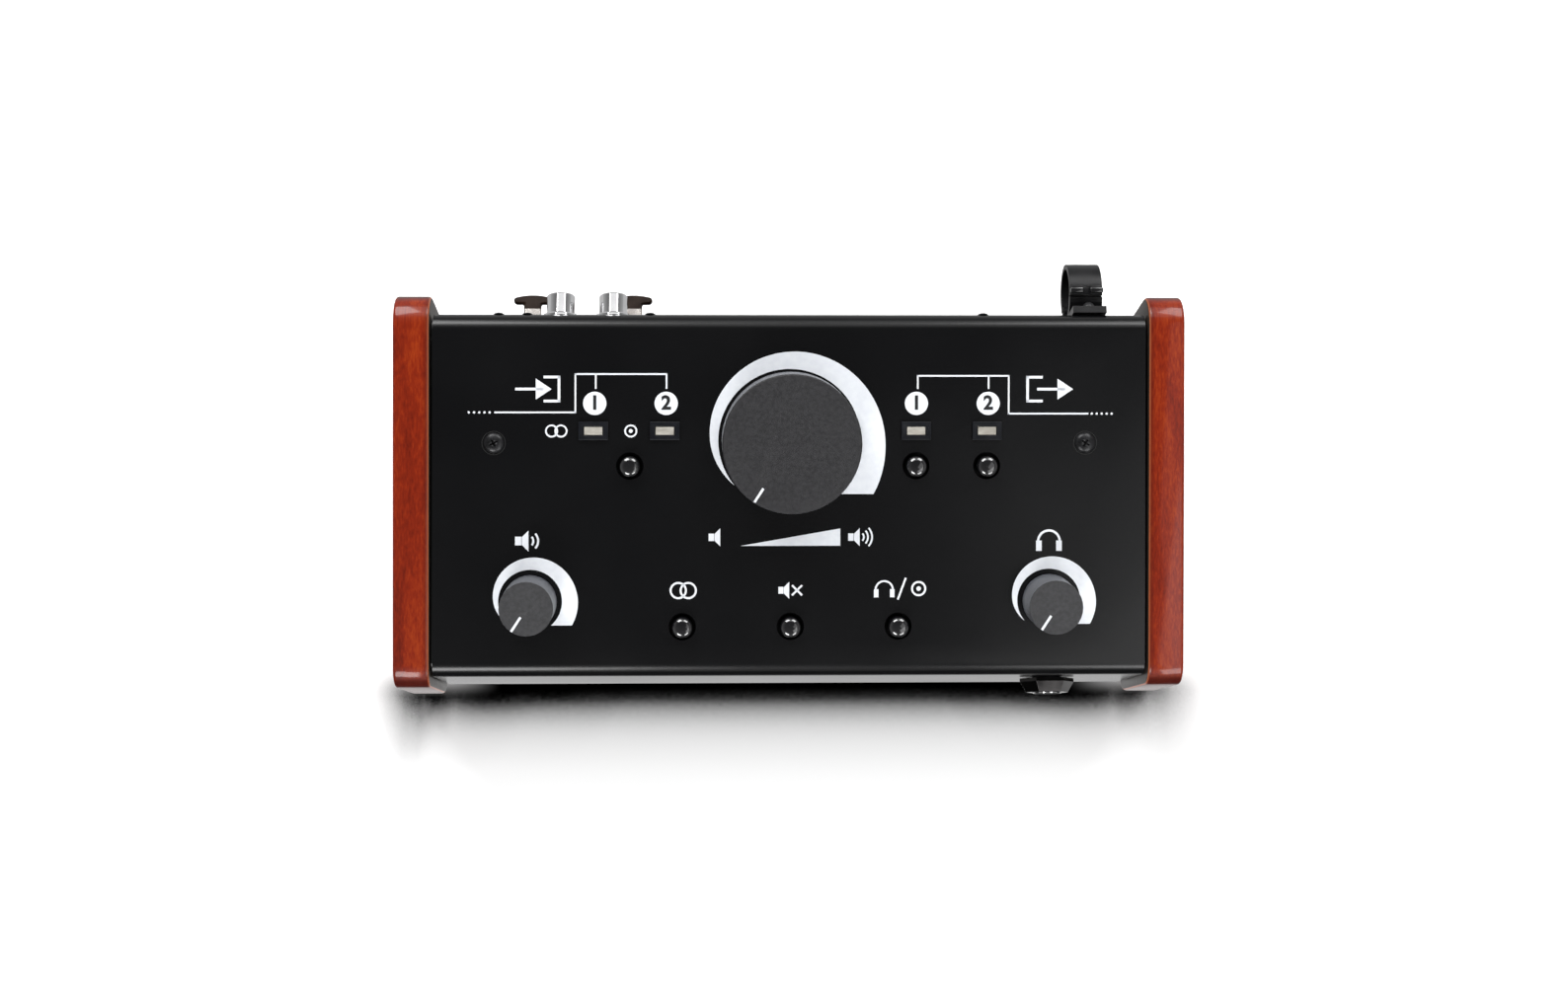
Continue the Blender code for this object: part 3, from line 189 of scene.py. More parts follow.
BUMP_DETAIL = 3.0
COLOUR_STOPS = (0.35, 0.65)  # the noise levels of a finish's dark and light colour
GLOSS_SPAN = (0.3, 0.7)  # the noise levels of its two roughness values
CHEEK_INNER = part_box("wood_cheek_right")[0].x
EDGE_HIGHLIGHT = 0.0006  # how far the painted highlight along a cheek's inner edge runs into the wood
EDGE_SHADE = 0.0022  # how far the painted shade beside it runs
EDGE_SHADE_SHARE = 0.45
CHEEK_FACE = 0.0001  # what lies nearer the case than this is a cheek's dull inner face
CLOUDS_STRETCH = (90, 5, 60)
CLOUDS = {"scale": 1.6, "detail": 3.0, "Distortion": 0.6}
PORES_STRETCH = (900, 22, 700)
PORES = {"scale": 2.0, "detail": 5.0, "Roughness": 0.65}
PORES_SHARE = 0.58
WOOD_STOPS = ((0.34, (0.120, 0.0075, 0.0008, 1)), (0.5, (0.220, 0.0150, 0.0013, 1)),
              (0.66, (0.320, 0.036, 0.0030, 1)))
WOOD_DEEP = (0.050, 0.0022, 0.0004, 1)  # the darkest wood: end grain with painted shade at the ends, and the painted shade beside the inner edge
# the painted highlight's colour on the cheeks' inner edge
WOOD_PAINTED_HIGHLIGHT = (0.50, 0.140, 0.050, 1)
WOOD_INNER = (0.034, 0.027, 0.022, 1)
END_GRAIN_SHADE_FROM, END_GRAIN_SHADE_FULL = 0.60, 0.88  # how far forward or back a face looks; those faces are darker, partly end grain and partly painted shade
END_GRAIN_SHADE_SHARE = 0.86
WOOD_ROUGH = (0.34, 0.50)
WOOD_SPECULAR = 0.15
WOOD_RELIEF = 0.10
LACQUER, LACQUER_INSIDE, LACQUER_ROUGH = 0.60, 0.15, 0.12


def finish(name, dark, light, rough, scale, stretch=(1, 1, 1), detail=4.0, metallic=0.0, bump=None,
           specular=None, ior=None):
    """A surface whose colour and gloss vary a little with fine noise. A bump is (strength, scale)."""
    tree, shader = new_material(name)
    where = stretched(tree, stretch)
    grain = noise(tree, where, scale, detail)
    colours = ((COLOUR_STOPS[0], (*dark, 1)), (COLOUR_STOPS[1], (*light, 1)))
    fill(tree, shader, {"Base Color": ramp(tree, grain, colours),
                        "Roughness": mapped(tree, grain, *GLOSS_SPAN, *rough), "Metallic": metallic})
    if specular is not None:
        fill(tree, shader, {"Specular IOR Level": specular})
    if ior is not None:
        fill(tree, shader, {"IOR": ior})
    if bump:
        strength, bump_scale = bump
        relief = noise(tree, where, bump_scale, BUMP_DETAIL)
        fill(tree, shader, {"Normal": bumped(tree, relief, strength)})


def wood(name):
    """Red-brown lacquer over grain from front to back, with a painted highlight and painted shade along the
    inner edge.
    """
    tree, shader = new_material(name)
    clouds = noise(tree, stretched(tree, CLOUDS_STRETCH), **CLOUDS)
    pores = noise(tree, stretched(tree, PORES_STRETCH), **PORES)
    figure = add(tree, "Mix", {"Factor": PORES_SHARE, "A": clouds, "B": pores}).outputs["Result"]
    grain = ramp(tree, figure, WOOD_STOPS)

    across = compute(tree, "ABSOLUTE", own_place(tree)["X"])
    facing = add(tree, "SeparateXYZ", {"Vector": add(tree, "NewGeometry").outputs["Normal"]}).outputs
    # Faces turned to the front or back darken: partly end grain, partly painted shade.
    endways = compute(tree, "ABSOLUTE", facing["Y"])
    end_grain_shade = mapped(tree, endways, END_GRAIN_SHADE_FROM, END_GRAIN_SHADE_FULL, 0.0, END_GRAIN_SHADE_SHARE, smooth=True)
    # Painted shade beside the inner edge's painted highlight.
    beside = mapped(tree, across, CHEEK_INNER + EDGE_SHADE, CHEEK_INNER + EDGE_HIGHLIGHT, 0.0, EDGE_SHADE_SHARE,
                    smooth=True)
    deep = mixed(tree, compute(tree, "MAXIMUM", end_grain_shade, beside), grain, WOOD_DEEP)
    # Painted highlight along the inner edge.
    edge = mapped(tree, across, CHEEK_INNER + EDGE_HIGHLIGHT, CHEEK_INNER)
    highlighted = mixed(tree, edge, deep, WOOD_PAINTED_HIGHLIGHT)
    inner = compute(tree, "LESS_THAN", across, CHEEK_INNER + CHEEK_FACE)

    fill(tree, shader, {
        "Base Color": mixed(tree, inner, highlighted, WOOD_INNER),
        "Roughness": mapped(tree, pores, 0.0, 1.0, *WOOD_ROUGH),
        "Specular IOR Level": WOOD_SPECULAR,
        "Coat Weight": mapped(tree, inner, 0.0, 1.0, LACQUER, LACQUER_INSIDE),
        "Coat Roughness": LACQUER_ROUGH,
        "Normal": bumped(tree, pores, WOOD_RELIEF),
    })


wood("lacquered_wood")
finish("black_steel", (0.0030, 0.0031, 0.0036), (0.0040, 0.0041, 0.0046), (0.20, 0.23), 25, bump=(0.06, 2600),
       specular=0.42)
finish("tray_steel", (0.012, 0.012, 0.013), (0.016, 0.016, 0.017), (0.42, 0.50), 25, bump=(0.15, 2600))
finish("plain_steel", (0.42, 0.42, 0.43), (0.52, 0.52, 0.53), (0.30, 0.42), 300, metallic=1.0)
finish("knob_top", (0.030, 0.030, 0.032), (0.044, 0.044, 0.047), (0.48, 0.60), 900, detail=2,
       bump=(0.35, 4200))
finish("level_top", (0.0145, 0.0142, 0.0160), (0.0220, 0.0215, 0.0240), (0.48, 0.60), 900, detail=2,
       bump=(0.35, 4200))
# The knobs' sides are lighter than their tops: painted reflection.
finish("knob_side_sheen", (0.076, 0.080, 0.092), (0.100, 0.105, 0.119), (0.34, 0.44), 400)
finish("level_side_sheen", (0.120, 0.125, 0.140), (0.155, 0.160, 0.178), (0.34, 0.44), 400)
finish("button_black", (0.005, 0.005, 0.006), (0.008, 0.008, 0.009), (0.07, 0.12), 200, ior=2.1)
finish("bezel_black", (0.004, 0.005, 0.007), (0.007, 0.008, 0.011), (0.30, 0.38), 300, specular=0.35)
finish("lens_beige", (0.34, 0.32, 0.28), (0.49, 0.47, 0.42), (0.22, 0.30), 260, stretch=(1, 3, 1))
finish("socket_black", (0.012, 0.012, 0.013), (0.018, 0.018, 0.019), (0.38, 0.48), 200, bump=(0.10, 2500))
finish("clamp_black", (0.006, 0.006, 0.007), (0.010, 0.010, 0.011), (0.30, 0.42), 150, bump=(0.06, 1800),
       specular=0.30)
finish("chrome", (0.80, 0.80, 0.81), (0.88, 0.88, 0.89), (0.03, 0.07), 200, metallic=1.0)
# Chrome darkened nearly to black: painted shade in place of the nut's dark reflections.
finish("shaded_nut_chrome", (0.026, 0.025, 0.025), (0.042, 0.040, 0.040), (0.07, 0.13), 200, metallic=1.0)
finish("gold_contact", (0.80, 0.52, 0.20), (0.90, 0.62, 0.26), (0.18, 0.26), 400, metallic=1.0)
# The latch tabs' dark and pale tones are painted reflection.
finish("latch_dark_reflection", (0.016, 0.008, 0.005), (0.026, 0.014, 0.009), (0.30, 0.40), 220, specular=0.2)
finish("latch_pale_reflection", (0.60, 0.56, 0.53), (0.74, 0.70, 0.66), (0.20, 0.30), 260, metallic=1.0)
finish("screw_black", (0.010, 0.010, 0.011), (0.020, 0.020, 0.022), (0.26, 0.36), 500, metallic=0.4)
finish("foot_rubber", (0.012, 0.012, 0.012), (0.020, 0.020, 0.020), (0.78, 0.90), 400, bump=(0.25, 3000))
finish("board_green", (0.012, 0.070, 0.028), (0.020, 0.105, 0.042), (0.32, 0.44), 120)
finish("print_white", (0.85, 0.88, 0.93), (0.90, 0.93, 0.97), (0.45, 0.55), 500, specular=0.1)
finish("print_black", (0.006, 0.006, 0.007), (0.012, 0.012, 0.013), (0.45, 0.55), 500)
finish("insulator_white", (0.70, 0.69, 0.66), (0.80, 0.79, 0.76), (0.35, 0.45), 300)
finish("insulator_red", (0.45, 0.02, 0.015), (0.55, 0.03, 0.02), (0.35, 0.45), 300)
# Painted shade for gaps and holes.
finish("painted_hole_shade", (0.002, 0.002, 0.002), (0.004, 0.004, 0.004), (0.6, 0.7), 300)

# Shaping helpers

WELD = 2e-6  # corners of the solids' meshes that lie closer than this are one
FLAT = math.radians(0.6)  # faces that differ by less than this are one


def link(obj):
    bpy.context.scene.collection.objects.link(obj)
    return obj


def as_object(name, bm, mat, matrix, body="case", smooth=None):
    mesh = bpy.data.meshes.new(name)
    bm.to_mesh(mesh)
    bm.free()
    mesh.materials.append(MATS[mat])
    if smooth is not None:
        mesh.shade_smooth()
        mesh.set_sharp_from_angle(angle=math.radians(smooth))
    obj = link(bpy.data.objects.new(name, mesh))
    obj.matrix_world = matrix
    bpy.context.view_layer.update()
    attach(obj, body)
    return obj


def dressed(node, mat, bevel=0.0, segments=3, smooth=35, limit=32):
    """A copy of a solid with joined corners, softened edges and its finish, in place of the plain one."""
    source = NODES[node]
    bm = bmesh.new()
    bm.from_mesh(source.data)
    bmesh.ops.remove_doubles(bm, verts=bm.verts, dist=WELD)
    bmesh.ops.dissolve_limit(bm, angle_limit=FLAT, verts=bm.verts, edges=bm.edges)
    mesh = bpy.data.meshes.new(node + "_dressed")
    bm.to_mesh(mesh)
    bm.free()
    mesh.materials.append(MATS[mat])
    mesh.shade_smooth()
    mesh.set_sharp_from_angle(angle=math.radians(smooth))
    obj = link(bpy.data.objects.new(node + "_dressed", mesh))
    if bevel:
        step = obj.modifiers.new("edges", "BEVEL")
        step.width = bevel
        step.segments = segments
        step.limit_method = "ANGLE"
        step.angle_limit = math.radians(limit)
        step.harden_normals = True
        step.miter_outer = "MITER_ARC"
    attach(obj, source["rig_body"])
    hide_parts(node)
    return obj


def two_tone(obj, height, mat):
    """Gives what lies nearer the rear face than this height another finish, here a paler painted reflection.
    """
    bm = bmesh.new()
    bm.from_mesh(obj.data)
    plane = REAR @ Vector((0, 0, height))
    everything = bm.verts[:] + bm.edges[:] + bm.faces[:]
    bmesh.ops.bisect_plane(bm, geom=everything, plane_co=plane, plane_no=(0, 1, 0))
    obj.data.materials.append(MATS[mat])
    for face in bm.faces:
        if face.calc_center_median().y < plane.y:
            face.material_index = 1
    bm.to_mesh(obj.data)
    bm.free()


def circle(radius, steps):
    """Points round the origin, evenly spaced."""
    turns = [2 * math.pi * i / steps for i in range(steps)]
    return [(radius * math.cos(turn), radius * math.sin(turn)) for turn in turns]


def turned(name, profile, mat, matrix, steps=48, smooth=35):
    """A turned piece about its own Z. The profile is (radius, height), down the outer side."""
    bm = bmesh.new()
    rings = []
    for radius, height in profile:
        corners = circle(radius, steps) if radius else [(0, 0)]
        rings.append([bm.verts.new((x, y, height)) for x, y in corners])
    for upper, lower in zip(rings, rings[1:]):
        for i in range(steps):
            j = (i + 1) % steps
            sides = ((upper, i), (lower, i), (lower, j), (upper, j))
            corners = list(dict.fromkeys(side[at % len(side)] for side, at in sides))
            if len(corners) > 2:
                bm.faces.new(corners)
    bmesh.ops.recalc_face_normals(bm, faces=bm.faces)
    return as_object(name, bm, mat, matrix, smooth=smooth)


def bar(name, outline, width, mat, matrix, body):
    """A bar of this width along X, with a (y, z) outline."""
    bm = bmesh.new()
    ends = [[bm.verts.new((x, y, z)) for y, z in outline] for x in (-width / 2, width / 2)]
    for end in ends:
        bm.faces.new(end)
    for i in range(len(outline)):
        j = (i + 1) % len(outline)
        bm.faces.new((ends[0][i], ends[0][j], ends[1][j], ends[1][i]))
    bmesh.ops.recalc_face_normals(bm, faces=bm.faces)
    as_object(name, bm, mat, matrix, body)


def block(name, low, high, mat, matrix, body="case", bevel=0.0, segments=2):
    """A box between two corners."""
    low, high = Vector(low), Vector(high)
    bm = bmesh.new()
    shape = Matrix.Translation((low + high) / 2) @ Matrix.Diagonal((*(high - low), 1))
    bmesh.ops.create_cube(bm, size=1.0, matrix=shape)
    if bevel:
        bmesh.ops.bevel(bm, geom=bm.edges[:], offset=bevel, segments=segments, affect="EDGES", profile=0.5)
    as_object(name, bm, mat, matrix, body, 35)


def printed(name, shapes):
    """Flat white marks on the panel, each a list of (x, y) corners, in one object."""
    bm = bmesh.new()
    for corners in shapes:
        face = bm.faces.new([bm.verts.new((x, y, PRINT_LIFT)) for x, y in corners])
        face.normal_update()
        if face.normal.z < 0:
            face.normal_flip()
    bmesh.ops.triangulate(bm, faces=bm.faces[:])
    as_object(name, bm, "print_white", PANEL)


def moved(shapes, x, y):
    return [[(x + px, y + py) for px, py in corners] for corners in shapes]


def scaled(shares, size):
    return [[(x * size, y * size) for x, y in corners] for corners in shares]


def disc(x, y, radius, steps=40):
    return moved([circle(radius, steps)], x, y)


def stroke(points, width):
    """Quads along a line, overlapping at the corners."""
    quads = []
    for (x0, y0), (x1, y1) in zip(points, points[1:]):
        way = Vector((x1 - x0, y1 - y0)).normalized() * (width / 2)
        side = Vector((-way.y, way.x))
        quads.append([
            (x0 - way.x + side.x, y0 - way.y + side.y),
            (x0 - way.x - side.x, y0 - way.y - side.y),
            (x1 + way.x - side.x, y1 + way.y - side.y),
            (x1 + way.x + side.x, y1 + way.y + side.y),
        ])
    return quads


def arc_points(x, y, radius, start, end, steps):
    start, end = math.radians(start), math.radians(end)
    return [(x + radius * math.cos(start + (end - start) * i / steps),
             y + radius * math.sin(start + (end - start) * i / steps)) for i in range(steps + 1)]


def ring(x, y, radius, width, start=0, end=360, steps=32):
    """A stroked arc as separate quads that share their ends."""
    inner = arc_points(x, y, radius - width / 2, start, end, steps)
    outer = arc_points(x, y, radius + width / 2, start, end, steps)
    return [[inner[i], inner[i + 1], outer[i + 1], outer[i]] for i in range(steps)]


def through(points, value):
    """A smooth curve through rising (where, height) points, read at one value."""
    count = len(points)
    for i in range(count - 1):
        (x0, y0), (x1, y1) = points[i], points[i + 1]
        if value <= x1 or i == count - 2:
            before = points[max(i - 1, 0)]
            after = points[min(i + 2, count - 1)]
            span = x1 - x0
            slope0 = (y1 - before[1]) / (x1 - before[0])
            slope1 = (after[1] - y0) / (after[0] - x0)
            t = min(max((value - x0) / span, 0.0), 1.0)
            return ((2 * t**3 - 3 * t**2 + 1) * y0 + (t**3 - 2 * t**2 + t) * span * slope0
                    + (-2 * t**3 + 3 * t**2) * y1 + (t**3 - t**2) * span * slope1)


# The case

CHEEK_EDGE = 0.0005
FOOT_EDGE = 0.0005


def make_case():
    dressed("top_cover", "black_steel", smooth=30)
    dressed("base_tray", "tray_steel", smooth=30)
    for side in ("left", "right"):
        dressed(f"side_plate_{side}", "black_steel")
        dressed(f"wood_cheek_{side}", "lacquered_wood", CHEEK_EDGE, smooth=50, limit=50)
        for row in ("front", "rear"):
            dressed(f"foot_{row}_{side}", "foot_rubber", FOOT_EDGE)
    dressed("control_board", "board_green")
    dressed("jack_board", "board_green")


# Screws

# Each kind's head radius, head height, and the angle by which each head is turned on from the last one
SCREWS = {
    "panel": (0.0031, 0.0011, 0.5),
    "rear": (0.0017, 0.0006, 0.4),
    "base": (0.0026, 0.0010, 0.3),
    "combo": (0.0026, 0.0012, 0.7),
    "clamp": (0.0019, 0.0018, 0.3),
}
DOME_SHARES = ((0, 1), (0.45, 0.94), (0.75, 0.72), (0.93, 0.38), (1, 0))
CROSS_LENGTH_SHARE = 0.56
CROSS_WIDTH_SHARE = 0.13
CROSS_DEPTH_SHARE = 0.62
CROSS_TAPER_SHARE = 0.55
PANEL_SCREWS = ((-0.0890, 0.0154), (0.0890, 0.0154))
# A dark ring round each panel screw: painted shade in its gap.
PANEL_SCREW_GAP_SHADE = ((0.0034, 0.00003), (0.0036, 0.00003))
REAR_SCREWS = ((-0.0880, 0.0830), (-0.0794, 0.0830), (-0.0424, 0.0830), (0.0586, 0.0830), (0.0720, 0.0240),
               (-0.1000, 0.0240))
BASE_SCREWS = [(x, y) for x in (-0.098, 0.0, 0.098) for y in (-0.040, 0.040)]


def screw(name, kind, number, matrix):
    """A low domed screw head with a cross recess."""
    radius, height, step = SCREWS[kind]
    dome = [(x * radius, z * height) for x, z in DOME_SHARES]
    head = turned(name, dome, "screw_black", matrix, steps=40)
    bm = bmesh.new()
    length = 2 * radius * CROSS_LENGTH_SHARE
    width = 2 * radius * CROSS_WIDTH_SHARE
    depth = 2 * height * CROSS_DEPTH_SHARE
    slot = Matrix.Translation((0, 0, height)) @ Matrix.Diagonal((length, width, depth, 1))
    for angle in (step * number, step * number + math.pi / 2):
        box = bmesh.ops.create_cube(bm, size=1.0, matrix=Matrix.Rotation(angle, 4, "Z") @ slot)
        for vert in box["verts"]:
            if vert.co.z < height:
                vert.co.x *= CROSS_TAPER_SHARE
                vert.co.y *= CROSS_TAPER_SHARE
    cutter = bpy.data.meshes.new(name + "_cross")
    bm.to_mesh(cutter)
    bm.free()
    cross = link(bpy.data.objects.new(name + "_cross", cutter))
    cross.matrix_world = matrix
    cut = head.modifiers.new("cross", "BOOLEAN")
    cut.object = cross
    cut.solver = "EXACT"
    cut.use_self = True
    head.data = final_mesh(head)
    head.modifiers.clear()
    bpy.data.objects.remove(cross, do_unlink=True)


def final_mesh(obj):
    """The mesh that an object's modifiers or its text come to."""
    bpy.context.view_layer.update()
    graph = bpy.context.evaluated_depsgraph_get()
    return bpy.data.meshes.new_from_object(obj.evaluated_get(graph))


def make_screws():
    for number, (x, y) in enumerate(PANEL_SCREWS, 1):
        screw(f"panel_screw_{number}", "panel", number, on_panel(x, y))
        turned(f"panel_screw_shade_ring_{number}", PANEL_SCREW_GAP_SHADE, "painted_hole_shade", on_panel(x, y), steps=40)
    for number, (x, height) in enumerate(REAR_SCREWS, 1):
        screw(f"rear_screw_{number}", "rear", number, on_rear(x, height))
    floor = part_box("base_tray")[0].z
    under = Matrix.Rotation(math.pi, 4, "X")
    for number, (x, y) in enumerate(BASE_SCREWS, 1):
        screw(f"base_screw_{number}", "base", number, Matrix.Translation((x, CASE_Y + y, floor)) @ under)


# Controls

KNOBS = {
    "level": (0.0, 0.0162, 0.02075),
    "auxiliary": (-0.0781, -0.0322, 0.0081),
    "headphone": (0.0781, -0.0322, 0.0081),
}
KNOB_TOP = 0.0150
KNOB_DRAFT = 0.0001
KNOB_CHAMFER_SHARE = 0.008
KNOB_EDGE = 0.0004
SIDE_FACING = 0.5  # a face whose normal has less of the knob's axis in it than this is a side, lighter as painted reflection
POINTER_TURN = math.radians(147)
POINTER_WIDTH = 0.00072
POINTER_RIM_GAP_SHARE = 0.006
LEVEL_POINTER = (0.0051, 0.0006)  # length of the slot, and how far from its end the white line starts
SMALL_POINTER = (0.0050, 0.0001)
POINTER_FOOT = 0.01455
POINTER_RIM = ((0.0003, 0.01440), (0.00007, 0.01452))  # over the rim: in from the knob's side, and height
SLOT_HALF = 0.00039
SLOT_FLOOR = 0.0146
SLOT_OVERRUN = 0.00005
SLOT_SINK = 0.00001
BUTTONS = ("input_select", "output_1", "output_2", "lower_left", "lower_middle", "lower_right")
SMALL_EDGE = 0.0002
BEZEL_EDGE = 0.00018
LENS_EDGE = 0.00015


def side_finish(obj, mat):
    """Gives what faces away from a knob's own axis a lighter colour: a painted reflection."""
    axis = (PANEL.to_3x3() @ Vector((0, 0, 1))).normalized()
    obj.data.materials.append(MATS[mat])
    for face in obj.data.polygons:
        if abs(face.normal.dot(axis)) < SIDE_FACING:
            face.material_index = 1


def make_knobs():
    """Knobs, shafts and potentiometers; the white pointer runs over the rim."""
    for name, (x, y, radius) in KNOBS.items():
        body = f"{name}_knob"
        big = name == "level"
        top, side = ("level_top", "level_side_sheen") if big else ("knob_top", "knob_side_sheen")
        knob = dressed(f"knob_{name}", top, KNOB_EDGE, segments=2, smooth=40, limit=30)
        side_finish(knob, side)
        dressed(f"shaft_{name}", "plain_steel")
        dressed(f"potentiometer_{name}", "plain_steel", SMALL_EDGE)
        length, inset = LEVEL_POINTER if big else SMALL_POINTER
        face = radius - KNOB_DRAFT - 2 * radius * KNOB_CHAMFER_SHARE
        slot_end = face - 2 * radius * POINTER_RIM_GAP_SHARE - length
        start = slot_end + inset
        rim = [(radius - inwards, height) for inwards, height in POINTER_RIM]
        outline = [(start, POINTER_FOOT), *rim, (face, KNOB_TOP + PRINT_LIFT), (start, KNOB_TOP + PRINT_LIFT)]
        at = on_panel(x, y) @ Matrix.Rotation(POINTER_TURN, 4, "Z")
        bar(f"pointer_{name}", outline, POINTER_WIDTH, "print_white", at, body)
        if big:
            block("pointer_slot_end", (-SLOT_HALF, slot_end - SLOT_OVERRUN, SLOT_FLOOR),
                  (SLOT_HALF, start, KNOB_TOP - SLOT_SINK), top, at, body)


def make_buttons():
    for name in BUTTONS:
        dressed(f"button_{name}", "button_black", smooth=50)
        dressed(f"switch_{name}", "socket_black", SMALL_EDGE)
    for side in ("input", "output"):
        for number in (1, 2):
            dressed(f"bezel_{side}_{number}", "bezel_black", BEZEL_EDGE)
            dressed(f"lens_{side}_{number}", "lens_beige", LENS_EDGE)


# Printed marks

# How wide a crescent has grown, by the degrees run from its tip, which is at the same angle on every knob
LEVEL_GROWTH = ((0, 0.0001), (38.7, 0.0025), (128.7, 0.0052), (218.7, 0.0074), (251.4, 0.0086))
SMALL_GROWTH = ((0, 0.0001), (38.7, 0.00147), (128.7, 0.00366), (218.7, 0.00478), (248.6, 0.0049))
CRESCENT_TIP = 218.7
CRESCENT_STEPS = 110
LEVEL_CRESCENT_SHIFT = 0.0003
LEVEL_CRESCENT_INNER = 0.02145
LEVEL_CRESCENT_DROP = 0.0162  # from the knob's middle down to the crescent's level end
SMALL_CRESCENT_INNER = 0.00954
SMALL_CRESCENT_DROP = 0.0072

NUMBERS = (("input", 1, -0.0588), ("input", 2, -0.0374), ("output", 1, 0.0379), ("output", 2, 0.0596))
NUMBER_Y = 0.0273
NUMBER_DISC = 0.0035
NUMBER_SIZE = 0.0058
NUMERAL_WEIGHT_SHARE = 0.035
TRACE_WIDTH = 0.0005
TRACE_FOOT = 0.0319  # the lines start here, just above the numbers' discs
# Each side's line: its two columns, its top, where it steps down, its lower level, its end, its first dot,
# and how far it is to the next dot
TRACES = (
    ((-0.0373, -0.0585), 0.0361, -0.0646, 0.0246, -0.0886, -0.0902, -0.00155),
    ((0.0383, 0.0597), 0.0356, 0.0658, 0.0242, 0.0897, 0.0910, 0.00150),
)
TRACE_DOT = 0.00036
TRACE_DOTS = 5

BOLD_LINE, SIGN_LINE, FINE_LINE = 0.0008, 0.0006, 0.0005
SIGN_PLACES = {
    "input": (-0.0770, 0.0316), "output": (0.0790, 0.0316), "input_1": (-0.0703, 0.0190),
    "input_2": (-0.0480, 0.0190), "level": (0.0, -0.0130), "auxiliary": (-0.0790, -0.0140),
    "headphone": (0.0781, -0.0140), "mono": (-0.0322, -0.0290), "mute": (-0.0007, -0.0290),
    "listen": (0.0325, -0.0286),
}
ARROW_LENGTH = 0.0105
ARROW_HEAD_SHARE = 0.45
ARROW_HALF_SHARE = 0.30
ARROW_OVERLAP_SHARE = 0.6
ARROW_IN_START = -0.0052
ARROW_OUT_START = -0.0042
BRACKET_X = 0.0075
BRACKET_HALF = 0.0036
BRACKET_LIP = 0.0042
SPEAKER_SHARES = (((-0.5, 0.18), (-0.5, -0.18), (-0.24, -0.18), (-0.24, 0.18)),
                  ((-0.22, 0.16), (-0.22, -0.16), (0.06, -0.44), (0.06, 0.44)))
WAVE_FIRST_SHARE, WAVE_STEP_SHARE, WAVE_LINE_SHARE = 0.26, 0.20, 0.085
WAVE_ANGLE = 42
BAND_DROP_SHARE, BAND_RADIUS_SHARE, BAND_LINE_SHARE = 0.05, 0.42, 0.09
EAR_SHARES = ((0.50, -0.02), (0.50, -0.42), (0.28, -0.42), (0.28, -0.02))
STEREO_RINGS = (0.0014, 0.0017)  # how far each ring stands from the middle, and its radius
MONO_RINGS = (0.0015, 0.0023)
DOTTED_RING = (0.0017, 0.0006)  # radius of the ring and of its dot
LISTEN_RING = (0.0020, 0.0007)
LISTEN_RING_X = 0.0062
LISTEN_SIZE = 0.0062
LISTEN_X = -0.0042
LISTEN_SLASH = ((0.0, -0.0030), (0.0022, 0.0030))
LEVEL_SIZE = 0.0062
LEVEL_QUIET_X = -0.0215
LEVEL_LOUD_X = 0.0205
WEDGE = (0.0150, 0.0026)  # half its length and half its height
AUXILIARY_SIZE = 0.0072
HEADPHONE_SIZE = 0.0078
MUTE_SIZE = 0.0058
MUTE_CROSS = (0.0014, 0.0040, 0.0013)  # its left and right ends, and half its height


def crescent(name, x, y, inner, growth, drop):
    """The level mark round a knob: it widens clockwise from its tip and ends on a level edge."""
    inside, outside = [], []
    sweep = growth[-1][0]
    inner_sweep = CRESCENT_TIP - math.degrees(math.asin(-drop / inner))
    for i in range(CRESCENT_STEPS + 1):
        along = sweep * i / CRESCENT_STEPS
        angle = math.radians(CRESCENT_TIP - along)
        outer = inner + through(growth, along)
        outside.append((x + outer * math.cos(angle), y + outer * math.sin(angle)))
        angle = math.radians(CRESCENT_TIP - inner_sweep * i / CRESCENT_STEPS)
        inside.append((x + inner * math.cos(angle), y + inner * math.sin(angle)))
    printed(name, [[inside[i], inside[i + 1], outside[i + 1], outside[i]] for i in range(CRESCENT_STEPS)])


def make_crescents():
    x, y, _ = KNOBS["level"]
    crescent("level_mark", x - LEVEL_CRESCENT_SHIFT, y, LEVEL_CRESCENT_INNER, LEVEL_GROWTH,
             LEVEL_CRESCENT_DROP)
    for name in ("auxiliary", "headphone"):
        x, y, _ = KNOBS[name]
        crescent(f"{name}_mark", x, y, SMALL_CRESCENT_INNER, SMALL_GROWTH, SMALL_CRESCENT_DROP)


def make_traces():
    """The lines that join the numbered columns to the input and output sides."""
    shapes = []
    for (column, branch), top, step_x, low, end, dot, dot_step in TRACES:
        line = [(column, TRACE_FOOT), (column, top), (step_x, top), (step_x, low), (end, low)]
        shapes += stroke(line, TRACE_WIDTH) + stroke([(branch, top), (branch, TRACE_FOOT)], TRACE_WIDTH)
        for i in range(TRACE_DOTS):
            shapes += disc(dot + dot_step * i, low, TRACE_DOT, steps=12)
    printed("trace_lines", shapes)


def make_numbers():
    for side, number, x in NUMBERS:
        printed(f"{side}_disc_{number}", disc(x, NUMBER_Y, NUMBER_DISC))
        numeral(f"{side}_number_{number}", number, NUMBER_SIZE, on_panel(x, NUMBER_Y, 2 * PRINT_LIFT),
                "print_black")


